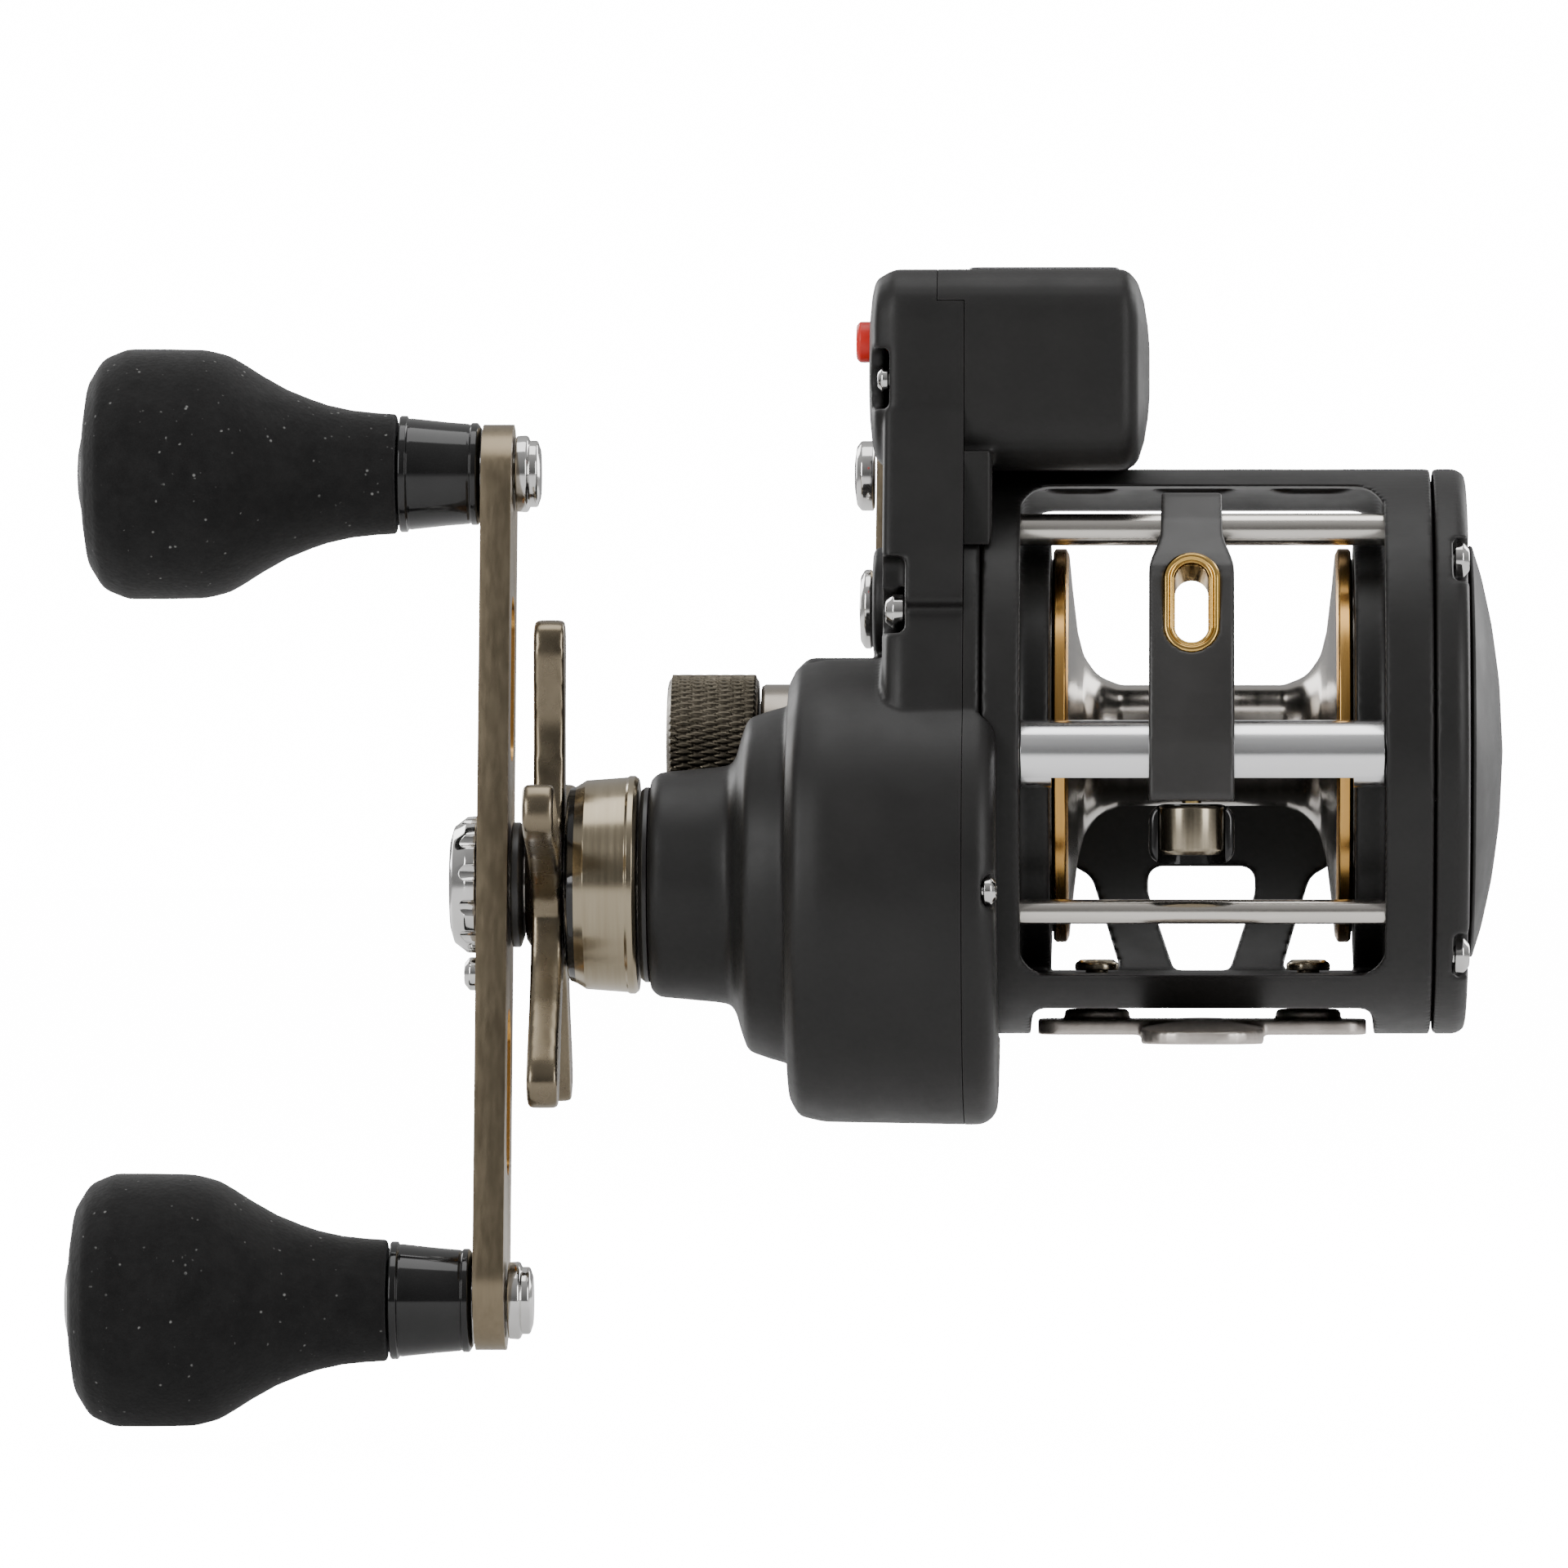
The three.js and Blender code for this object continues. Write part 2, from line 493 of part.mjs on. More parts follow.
function caseScrewPockets() {
  return Object.values(CASE_SCREWS).flatMap(({ y, z, face, r, above, below }) => [
    rod(-50, face + 2.6, r + 0.5, { y, z }, 12),
    plateX(roundedRect(y - 14, y, z - below, z + above, 1), -50, face + 2.6),
    rod(-50, -30, 1.45, { y, z }, 8),
  ]);
}

piece("bridge_plate", bridgePlate(), BLACK_PAINT);
piece("gear_case", gearCase(), BLACK_PAINT);
for (const [name, { y, z, face, r }] of Object.entries(CASE_SCREWS)) {
  piece(name, capScrew(face + 2.2, face + 0.4, r, { y, z }, face + 7, 1.15), CHROME);
}
piece("bridge_screw", capScrew(-28.1, -26.4, 1.8, BRIDGE_SCREW, -29.2, 0.9), CHROME);
piece("cast_control_boss", pipe(SPOOL_BOSS.x0, SPOOL_BOSS.x1, 3.2, SPOOL_BOSS.r, SPOOL, 20), STEEL);

// ---- line counter ----------------------------------------------------------------------------
function counterHousing() {
  const shell = counterPod().subtract(leftOfSeam(-GAP / 2));
  const stepWall = leftOfSeam(-GAP / 2).intersect(box(-60, -30, -60, 60, 96, 120));
  const hollow = plateX(counterHollow(), -45, COUNTER.xRight - WALL).subtract(stepWall);
  const bracket = box(SEAM_X + GAP / 2, -27.4, -26.6, -20.6, 64.4, 77.2);
  const clear = rod(-40, 0, RING_R + GAP, BODY, 28);
  const window = box(WINDOW.x0, WINDOW.x1, WINDOW.y0, WINDOW.y1, 95, 110);
  const lensSeat = plateZ(lensShape(GAP), LENS.z0 - GAP, 110);
  const wheelAxleSeat = rod(-12, -7.6, 1.5, WHEELS, 10);
  return cut(join(cut(shell, hollow), bracket), clear, window, lensSeat, wheelAxleSeat);
}

const lensShape = (grow) => roundedRect(LENS.x0 - grow, LENS.x1 + grow, LENS.y0 - grow, LENS.y1 + grow, 2);
piece("counter_housing", counterHousing(), BLACK_PAINT);
piece("counter_lens", plateZ(lensShape(0), LENS.z0, LENS.z1, 0.3, 3), SMOKED);
const WHEEL_NAMES = ["hundreds", "tens", "ones"];
WHEELS.x.forEach((x, i) => {
  const half = WHEELS.width / 2;
  piece(`counter_wheel_${WHEEL_NAMES[i]}`, pipe(x - half, x + half, 1.5, WHEELS.r, WHEELS, 20), WHITE);
});
const resetProfile = [
  [-41.2, 0], [-41.2, 1.4], [-42.2, 1.4], [-42.2, RESET.r],
  [-45.0, RESET.r], [-45.4, RESET.r - 0.5], [-45.4, 0],
];
piece("reset_button", turned(resetProfile, RESET, 14), RED);

// ---- clutch lever and yoke ---------------------------------------------------------------------
function leverStrip() {
  const along = Math.atan2(LEVER.tipZ - LEVER.z, LEVER.tipY - LEVER.y);
  const reach = Math.hypot(LEVER.tipZ - LEVER.z, LEVER.tipY - LEVER.y);
  const strip = new THREE.Shape();
  strip.absarc(0, 0, 4.2, Math.PI / 2, 1.5 * Math.PI);
  strip.absarc(reach, 0, 3.6, -Math.PI / 2, Math.PI / 2);
  const depth = LEVER.x1 - LEVER.x0;
  const geometry = new THREE.ExtrudeGeometry(strip, { depth, bevelEnabled: false, curveSegments: 6 });
  geometry.applyMatrix4(OUTLINE_YZ);
  geometry.rotateX(along);
  geometry.translate(LEVER.x0, LEVER.y, LEVER.z);
  return cut(solid(geometry), rod(-50, -40, 2.0, LEVER, 12));
}

const domedCap = (x0, x1, r, axis) =>
  turned([[x0, 0], [x0, r], [x1 + 0.7, r], [x1 + 0.15, r - 0.7], [x1, r - 2], [x1, 0]], axis, 16);
piece("clutch_lever", leverStrip(), BRONZE);
piece("clutch_button", domedCap(-43.9, -46.6, 4.7, { y: LEVER.tipY, z: LEVER.tipZ }), CHROME);
const pivotCap = [
  [-41.9, 0], [-41.9, 1.7], [-43.9, 1.7], [-43.9, 5.2], [-45.0, 5.2], [-45.6, 4.5], [-45.7, 0],
];
piece("lever_pivot_screw", turned(pivotCap, LEVER, 16), CHROME);

function clutchYoke() {
  const arm = roundedRect(-5.4, 17.5, 33, 44.8, 3);
  const opening = roundedRect(-3.1, 3.1, 20, 42.0, 3);
  return cut(plateX(arm, YOKE.x0, YOKE.x1), plateX(opening, YOKE.x0 - 1, YOKE.x1 + 1));
}
piece("clutch_yoke", clutchYoke(), STEEL);

// ---- drive train -------------------------------------------------------------------------------
const driveToSpool = angleTo(DRIVE, SPOOL);
const driveToWorm = angleTo(DRIVE, WORM);

function mainGear() {
  const { x0, web, x1 } = MAIN_GEAR;
  const wheel = plateX(gearShape(MAIN_TEETH, MODULE, DRIVE, driveToSpool), x0, x1);
  return cut(wheel, rod(x0 - 1, web, 17.4, DRIVE, 20), rod(x0 - 1, x1 + 1, SHAFT_R + GAP, DRIVE, 16));
}

function pinion() {
  const phase = meshingPhase(DRIVE, SPOOL, PINION_TEETH);
  const teeth = plateX(gearShape(PINION_TEETH, MODULE, SPOOL, phase), PINION.x0, PINION.x1);
  const { x1, groove, end } = PINION;
  const grooved = [[x1 - 0.2, 0], [x1 - 0.2, 2.8], [groove, 2.8], [groove, 4.2], [end, 4.2], [end, 0]];
  const collar = turned(grooved, SPOOL, 14);
  return cut(join(teeth, collar), rod(-50, -30, 2.02, SPOOL, 12));
}

function levelwindDriveGear() {
  const { x0, x1 } = LEVELWIND_X;
  const wheel = plateX(gearShape(WORM_DRIVE_TEETH, WORM_MODULE, DRIVE, driveToWorm), x0, x1);
  return cut(wheel, rod(-39, -33, SHAFT_R + GAP, DRIVE, 16));
}

function wormGear() {
  const phase = meshingPhase(DRIVE, WORM, WORM_TEETH);
  return plateX(gearShape(WORM_TEETH, WORM_MODULE, WORM, phase), LEVELWIND_X.x0, LEVELWIND_X.x1);
}

const crank = new THREE.Group();
reel.add(crank);
piece("main_gear", mainGear(), BRASS, crank);
piece("levelwind_drive_gear", levelwindDriveGear(), WHITE, crank);
piece("pinion", pinion(), BRASS);
const wormProfile = [[-37.6, 0], [-37.6, 2.0], [-33, 2.0], [-33, 2.9], [22.6, 2.9], [23, 2.2], [23.4, 0]];
piece("worm_shaft", join(turned(wormProfile, WORM, 14), wormGear()), STEEL);
const washer = pipe(MAIN_GEAR.web - 1.5, MAIN_GEAR.web - GAP, SHAFT_R + GAP, 16.9, DRIVE, 20);
piece("drag_washer", washer, CARBON, crank);
const driveShaft = [[-96.3, 0], [-96.3, 3.4], [-90, 3.4], [-90, SHAFT_R], [-29.9, SHAFT_R], [-29.9, 0]];
piece("drive_shaft", turned(driveShaft, DRIVE, 16), STEEL, crank);
piece("one_way_bearing", pipe(-70.6, -60.5, 4.45, 8.0, DRIVE, 20), STEEL);
const sleeve = [[-73.4, 6.2], [-73.4, 12.5], [-73.1, 12.8], [-72.5, 12.8], [-72.5, 6.2], [-73.4, 6.2]];
piece("neck_sleeve", turned(sleeve, DRIVE, 20), SATIN_BLACK);

// ---- star drag ---------------------------------------------------------------------------------
function starWheel() {
  const hubRing = [[-88.4, 4.5], [-88.4, 7.6], [-87.2, 9.6], [-83.3, 9.6], [-83.3, 4.5], [-88.4, 4.5]];
  const hub = turned(hubRing, DRIVE, 20);
  const arm = new THREE.Shape();
  arm.moveTo(-5.2, 6);
  arm.quadraticCurveTo(-2.9, 14, -2.9, 21);
  arm.lineTo(-3.4, STAR.tip - 3.2);
  arm.quadraticCurveTo(-3.2, STAR.tip, 0, STAR.tip);
  arm.quadraticCurveTo(3.2, STAR.tip, 3.4, STAR.tip - 3.2);
  arm.lineTo(2.9, 21);
  arm.quadraticCurveTo(2.9, 14, 5.2, 6);
  arm.closePath();
  const armSolid = plateX(arm, STAR.x0, STAR.x1, 0, 2);
  const arms = [];
  for (let i = 0; i < STAR.arms; i++) {
    arms.push(armSolid.rotate([(i * 360) / STAR.arms, 0, 0]).translate([0, DRIVE.y, DRIVE.z]));
  }
  return cut(join(hub, ...arms), rod(-90, -80, 4.5, DRIVE, 16));
}

const hubProfile = [
  [-83.0, 4.5], [-83.0, 12.4], [-82.1, 13.6], [-75.0, 14.3],
  [-74.0, 14.3], [-73.7, 14.0], [-73.7, 4.5], [-83.0, 4.5],
];
piece("star_drag_wheel", starWheel(), BRONZE, crank);
piece("star_drag_hub", turned(hubProfile, DRIVE, 26), BRONZE, crank);

// ---- handle: built upright about the crank axis, then tilted to its place at rest ---------------
const handle = new THREE.Group();
handle.position.set(0, DRIVE.y, DRIVE.z);
handle.rotation.x = CRANK_TILT;
crank.add(handle);
const HUB = { y: 0, z: 0 };

function handleArm() {
  const half = ARM.width / 2;
  const outline = new THREE.Shape();
  outline.absarc(0, ARM.endReach, half, 0, Math.PI);
  outline.absarc(0, -ARM.endReach, half, Math.PI, 2 * Math.PI);
  const blank = plateX(outline, ARM.x0, ARM.x1, 0.6, 10);
  const holes = [rod(ARM.x0 - 1, ARM.x1 + 1, 3.75, HUB, 14)];
  for (const side of [-1, 1]) {
    holes.push(rod(ARM.x0 - 1, ARM.x1 + 1, 2.85, { y: 0, z: side * KNOB_REACH }, 12));
    const [z0, z1] = [side * 16.5, side * 38.5].sort((a, b) => a - b);
    holes.push(plateX(roundedRect(-4.2, 4.2, z0, z1, 4.1), ARM.x0 - 1, ARM.x1 + 1, 0, 3));
  }
  return cut(blank, ...holes);
}

function handleNut() {
  const flutes = 12;
  const blank = turned([[-98.4, 0], [-98.4, 6], [-97.8, 7.8], [-96, 9], [-94.9, 9], [-94.9, 0]], HUB, 26);
  const cuts = [rod(-96.6, -94, 3.75, HUB, 14)];
  for (let i = 0; i < flutes; i++) {
    const a = (2 * Math.PI * i) / flutes;
    cuts.push(rod(-99, -94, 1.3, { y: 9.6 * Math.cos(a), z: 9.6 * Math.sin(a) }, 8));
  }
  return cut(blank, ...cuts);
}

piece("handle_arm", handleArm(), BRONZE, handle);
piece("handle_nut", handleNut(), CHROME, handle);
piece("nut_lock_screw", capScrew(-94.9, -96.7, 2.2, { y: 1.4, z: -11.6 }, -94.8, 1.2), CHROME, handle);
const collar = [[-90.3, 4.3], [-90.3, 8.2], [-89.0, 8.2], [-88.7, 7.0], [-88.7, 4.3], [-90.3, 4.3]];
piece("handle_collar", turned(collar, HUB, 16), SATIN_BLACK, handle);

// Foam grip, profile of [distance along the knob from the arm, radius].
const GRIP_PROFILE = [
  [-106.1, 8.0], [-112, 8.45], [-117.4, 9.9], [-123.8, 12.95], [-127.4, 15.3], [-131.3, 16.4],
  [-136.7, 16.5], [-141.3, 16.4], [-144.4, 15.2], [-146.5, 12.3], [-147.3, 8.0],
];
const gripInside = [[-145.0, 8.0], [-145.0, 4.9], [-106.1, 4.9], [-106.1, 8.0]];
const ferruleProfile = [
  [-94.9, 2.9], [-94.9, 6.7], [-99.5, 7.0], [-105.7, 7.7],
  [-105.7, 4.5], [-144, 4.5], [-144, 2.9], [-94.9, 2.9],
];
const capProfile = [[-145.3, 0], [-145.3, 7.6], [-147.3, 7.6], [-147.9, 6.2], [-148.2, 3.2], [-148.3, 0]];
const spindleProfile = [
  [-143.4, 0], [-143.4, 2.5], [-90.3, 2.5], [-90.3, 5.1],
  [-88.6, 5.1], [-88.2, 4.4], [-87.7, 4.4], [-87.2, 3.4], [-87.0, 0],
];
for (const [name, z] of [["upper", KNOB_REACH], ["lower", -KNOB_REACH]]) {
  const axis = { y: 0, z };
  piece(`knob_spindle_${name}`, turned(spindleProfile, axis, 16), STEEL, handle);
  piece(`knob_ferrule_${name}`, turned(ferruleProfile, axis, 16), GLOSS_BLACK, handle);
  piece(`knob_grip_${name}`, turned([...GRIP_PROFILE, ...gripInside], axis, 16), FOAM, handle);
  piece(`knob_cap_${name}`, turned(capProfile, axis, 16), GLOSS_BLACK, handle);
}

// ---- cast control -----------------------------------------------------------------------------
const castProfile = [
  [-70.6, 0], [-70.6, 8.6], [-70.0, 9.4], [-59.0, 9.4],
  [-58.6, 9.0], [-58.6, 3.6], [-69.0, 3.6], [-69.0, 0],
];
piece("cast_control_knob", turned(castProfile, SPOOL, 26), GUNMETAL);

// ---- line guide ---------------------------------------------------------------------------------
const leaning = (manifold) => {
  const lean = THREE.MathUtils.radToDeg(EYE_LEAN);
  return manifold.translate([0, -EYE.y, -EYE.z]).rotate([lean, 0, 0]).translate([0, EYE.y, EYE.z]);
};

function lineGuide() {
  const side = polygon([
    [-38.6, 31.6], [-26.3, 31.6], [-26.2, 43.6], [-29.0, 46.0], [-26.6, 55], [-21.6, 63.4], [-14.1, 65.6],
    [-13.9, 70.4], [-15.6, 71.9], [-19.2, 71.9], [-24.6, 68.2], [-30.6, 62.4], [-35.4, 53], [-38.7, 42.5],
  ]);
  const front = polygon([
    [-GUIDE_HALF, 31.3], [GUIDE_HALF, 31.3], [GUIDE_HALF, 63.4], [3.9, 65.6],
    [3.9, 73], [-3.9, 73], [-3.9, 65.6], [-GUIDE_HALF, 63.4],
  ]);
  const blank = plateX(side, -8, 8).intersect(plateY(front, -45, -5));
  const tubeBore = rod(-9, 9, TUBE.rOut + 0.35, WORM, 20);
  const rodBore = rod(-9, 9, UPPER_ROD.r + 0.4, UPPER_ROD, 14);
  const eyeBore = leaning(plateY(stadium(0, EYE.z, EYE.half + GAP, EYE.tall + GAP), -45, -5));
  const pawlHole = postZ(30, 36, 1.9, 0, WORM.y, 10);
  return cut(blank, tubeBore, rodBore, eyeBore, pawlHole);
}

function stadium(x, z, half, tall) {
  const shape = new THREE.Shape();
  shape.absarc(x, z + tall - half, half, 0, Math.PI);
  shape.absarc(x, z - tall + half, half, Math.PI, 2 * Math.PI);
  return shape;
}

function guideInsert() {
  const outer = plateY(stadium(0, EYE.z, EYE.half, EYE.tall), EYE.y, EYE.y + EYE.depth, 8);
  const inner = plateY(stadium(0, EYE.z, EYE.bore, EYE.boreTall), -45, -5, 8);
  return leaning(cut(outer, inner));
}

function pawlHousing() {
  const body = plateY(roundedRect(-GUIDE_HALF, GUIDE_HALF, 23.4, 31.2, 1.6), -34.6, -27.6);
  return cut(body, postZ(20, 40, PAWL_CAP_R + GAP, 0, PAWL_CAP_Y, 16));
}

const guide = new THREE.Group();
guide.position.x = GUIDE_X;
reel.add(guide);
piece("line_guide", lineGuide(), SATIN_BLACK, guide);
piece("guide_insert", guideInsert(), GOLD, guide);
piece("pawl_housing", pawlHousing(), GLOSS_BLACK, guide);
const pawlCap = [
  [24.6, 0], [24.6, PAWL_CAP_R - 0.4], [25.0, PAWL_CAP_R], [31.0, PAWL_CAP_R], [31.0, 0],
];
piece("pawl_cap", turnedZ(pawlCap, 0, PAWL_CAP_Y, 16), GUNMETAL, guide);
piece("pawl", postZ(31.3, 34.4, 1.3, 0, WORM.y, 10), BRASS, guide);

export default reel;
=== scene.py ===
import json
import math

import bmesh
import bpy
from mathutils import Matrix, Vector


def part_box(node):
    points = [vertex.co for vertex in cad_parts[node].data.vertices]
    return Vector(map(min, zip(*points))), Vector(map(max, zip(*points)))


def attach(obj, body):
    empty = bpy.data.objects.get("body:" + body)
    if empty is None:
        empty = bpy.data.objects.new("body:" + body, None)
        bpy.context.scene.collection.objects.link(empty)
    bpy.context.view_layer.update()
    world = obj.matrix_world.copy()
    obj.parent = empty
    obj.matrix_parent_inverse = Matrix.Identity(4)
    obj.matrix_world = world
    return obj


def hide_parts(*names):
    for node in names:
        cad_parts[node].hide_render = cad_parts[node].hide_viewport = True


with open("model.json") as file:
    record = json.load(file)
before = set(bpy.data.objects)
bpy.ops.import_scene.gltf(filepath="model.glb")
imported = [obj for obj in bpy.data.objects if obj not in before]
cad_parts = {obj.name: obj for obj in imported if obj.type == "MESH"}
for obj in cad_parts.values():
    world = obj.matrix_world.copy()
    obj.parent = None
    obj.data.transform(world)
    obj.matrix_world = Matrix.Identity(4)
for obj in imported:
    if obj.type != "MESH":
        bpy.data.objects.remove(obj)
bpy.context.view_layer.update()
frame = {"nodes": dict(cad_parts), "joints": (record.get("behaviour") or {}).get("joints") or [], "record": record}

MM = 0.001

BODY_OF = {n: b for b, nodes in frame["record"]["behaviour"]["bodies"].items() for n in nodes}
JOINT_AXIS = {j["name"]: (j["pos_m"][1] / MM, j["pos_m"][2] / MM) for j in frame["joints"] if "pos_m" in j}
SPOOL = JOINT_AXIS["spool_turn"]
DRIVE = JOINT_AXIS["crank_turn"]
WORM = JOINT_AXIS["worm_turn"]
LEVER = JOINT_AXIS["clutch_throw"]
WHEEL_AXIS = JOINT_AXIS["wheel_ones_turn"]


def span(node, axis):
    low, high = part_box(node)
    return low[axis] / MM, high[axis] / MM


def middle(node, axis):
    return sum(span(node, axis)) / 2


def middle_yz(node):
    return middle(node, 1), middle(node, 2)


RING = (0.0, middle("tail_cover", 2))  # centre of the side rings
DRUM = (DRIVE[0], DRIVE[1] - 0.8)  # centre of the gear case drum
KNOB_OFFSET = [place - axis for place, axis in zip(middle_yz("knob_cap_upper"), DRIVE)]
CRANK_TILT = math.atan2(*KNOB_OFFSET)
KNOB_REACH = math.hypot(*KNOB_OFFSET)
GUIDE_X = middle("line_guide", 0)


# ---- mesh building -------------------------------------------------------------------
def linked(name, data):
    obj = bpy.data.objects.new(name, data)
    bpy.context.scene.collection.objects.link(obj)
    return obj


def new_object(name, points, faces):
    mesh = bpy.data.meshes.new(name)
    mesh.from_pydata([Vector(p) * MM for p in points], [], faces)
    build = bmesh.new()
    build.from_mesh(mesh)
    bmesh.ops.recalc_face_normals(build, faces=build.faces)
    build.to_mesh(mesh)
    build.free()
    return linked(name, mesh)


def fillet(points, radius=0.0, closed=False, step=math.radians(14)):
    """A polyline with its corners rounded. A point is (u, v) or (u, v, its own radius)."""
    flat_enough, most_of_a_side = 0.06, 0.48
    smooth = []
    for i, point in enumerate(points):
        here = Vector(point[:2])
        r = point[2] if len(point) > 2 else radius
        if r <= 0 or (not closed and i in (0, len(points) - 1)):
            smooth.append(here)
            continue
        back = Vector(points[i - 1][:2]) - here
        on = Vector(points[(i + 1) % len(points)][:2]) - here
        inner = back.angle(on, math.pi)
        if math.pi - inner < flat_enough:
            smooth.append(here)
            continue
        reach = min(r / math.tan(inner / 2), most_of_a_side * min(back.length, on.length))
        r = reach * math.tan(inner / 2)
        centre = here + (back.normalized() + on.normalized()).normalized() * (r / math.sin(inner / 2))
        start = here + back.normalized() * reach - centre
        end = here + on.normalized() * reach - centre
        sweep = math.atan2(start.x * end.y - start.y * end.x, start.dot(end))
        steps = max(2, math.ceil(abs(sweep) / step))
        for k in range(steps + 1):
            turn = Matrix.Rotation(sweep * k / steps, 2)
            smooth.append(centre + turn @ start)
    return smooth


def skin(rings, closed=False):
    """Faces between neighbouring rings of point numbers. A ring of one number is a tip."""
    count = max(len(ring) for ring in rings)
    faces = []
    for a, b in zip(rings, rings[1:] + rings[:1] if closed else rings[1:]):
        for k in range(count):
            n = (k + 1) % count
            corners = dict.fromkeys((a[k % len(a)], a[n % len(a)], b[n % len(b)], b[k % len(b)]))
            if len(corners) > 2:
                faces.append(list(corners))
    return faces


def revolve(name, profile, axis, radius, segments, closed=False, along="x"):
    """A body of revolution. Profile points are (distance along the axis, radius[, fillet])."""
    line = fillet(profile, radius, closed)
    points, rings = [], []
    for t, r in line:
        ring = []
        count = 1 if r < 1e-6 else segments
        for k in range(count):
            a = 2 * math.pi * k / segments
            u, v = axis[0] + r * math.cos(a), axis[1] + r * math.sin(a)
            ring.append(len(points))
            points.append((t, u, v) if along == "x" else (u, v, t))
        rings.append(ring)
    return new_object(name, points, skin(rings, closed))


def extrude(name, outline, low, high, along):
    """An outline extruded along an axis. It is (y, z) along x, (x, z) along y and (x, y) along z."""
    place = {
        "x": lambda u, v, t: (t, u, v),
        "y": lambda u, v, t: (u, t, v),
        "z": lambda u, v, t: (u, v, t),
    }[along]
    count = len(outline)
    points = [place(u, v, t) for t in (low, high) for u, v in outline]
    sides = [(k, (k + 1) % count, (k + 1) % count + count, k + count) for k in range(count)]
    return new_object(name, points, [list(range(count)), list(range(count, 2 * count)), *sides])


def rectangle(u0, u1, v0, v1, r=0.0):
    return fillet([(u0, v0), (u1, v0), (u1, v1), (u0, v1)], r, closed=True)


def circle(u, v, r, segments=48):
    turns = [2 * math.pi * k / segments for k in range(segments)]
    return [Vector((u + r * math.cos(a), v + r * math.sin(a))) for a in turns]


def half_circle(u, v, r, start, segments):
    turns = [start + math.pi * k / segments for k in range(segments + 1)]
    return [Vector((u + r * math.cos(a), v + r * math.sin(a))) for a in turns]


def stadium(u, v, half, tall, segments=32):
    """A slot outline, upright, of the given half width and half height."""
    rise = tall - half
    return half_circle(u, v + rise, half, 0, segments) + half_circle(u, v - rise, half, math.pi, segments)


def rod(low, high, r, axis, along="x", segments=64):
    return revolve("rod", [(low, 0), (low, r), (high, r), (high, 0)], axis, 0, segments, along=along)


def block(x0, x1, y0, y1, z0, z1):
    return extrude("block", rectangle(x0, x1, y0, y1), z0, z1, "z")


def apply_modifiers(obj):
    graph = bpy.context.evaluated_depsgraph_get()
    mesh = bpy.data.meshes.new_from_object(obj.evaluated_get(graph))
    old = obj.data
    obj.modifiers.clear()
    obj.data = mesh
    bpy.data.meshes.remove(old)
    return obj


def combine(obj, tools, operation):
    for tool in tools:
        modifier = obj.modifiers.new("combine", "BOOLEAN")
        modifier.operation = operation
        modifier.solver = "MANIFOLD"
        modifier.object = tool
        apply_modifiers(obj)
        bpy.data.objects.remove(tool)
    return obj


def cut(obj, *tools):
    return combine(obj, tools, "DIFFERENCE")


def join(obj, *others):
    return combine(obj, others, "UNION")


def overlap(obj, other):
    return combine(obj, [other], "INTERSECT")


def merge(obj, *others):
    """Puts the meshes of several objects into one, without changing their shapes."""
    build = bmesh.new()
    for each in (obj, *others):
        build.from_mesh(each.data)
    build.to_mesh(obj.data)
    build.free()
    for other in others:
        bpy.data.objects.remove(other)
    return obj


def bevel(obj, width, segments, angle=50):
    modifier = obj.modifiers.new("bevel", "BEVEL")
    modifier.width = width * MM
    modifier.segments = segments
    modifier.limit_method = "ANGLE"
    modifier.angle_limit = math.radians(angle)
    modifier.use_clamp_overlap = True
    return apply_modifiers(obj)


def cast(obj, voxel, passes):
    """Remeshes a solid evenly and softens its edges, as a die casting or moulding has them."""
    remesh = obj.modifiers.new("remesh", "REMESH")
    remesh.mode = "VOXEL"
    remesh.voxel_size = voxel * MM
    soften = obj.modifiers.new("soften", "SMOOTH")
    soften.factor = 0.5
    soften.iterations = passes
    return apply_modifiers(obj)


def turn(obj, angle, about):
    """Turns the mesh about a line parallel to X, through a point in millimetres."""
    centre = Matrix.Translation(Vector(about) * MM)
    obj.data.transform(centre @ Matrix.Rotation(angle, 4, "X") @ centre.inverted())
    return obj


# ---- materials: every one is a node tree in object coordinates -----------------------
class Tree:
    """A node tree, with short calls that add a node and link or set its sockets."""

    def __init__(self, owner):
        owner.use_nodes = True
        self.tree = owner.node_tree

    def add(self, kind, **inputs):
        node = self.tree.nodes.new(kind)
        for socket, value in inputs.items():
            self.set(node, socket.replace("_", " "), value)
        return node

    def set(self, node, socket, value):
        target = node.inputs[socket]
        if isinstance(value, bpy.types.NodeSocket):
            self.tree.links.new(value, target)
        else:
            target.default_value = value

    def maths(self, operation, a, b):
        node = self.tree.nodes.new("ShaderNodeMath")
        node.operation = operation
        self.set(node, 0, a)
        self.set(node, 1, b)
        return node.outputs["Value"]


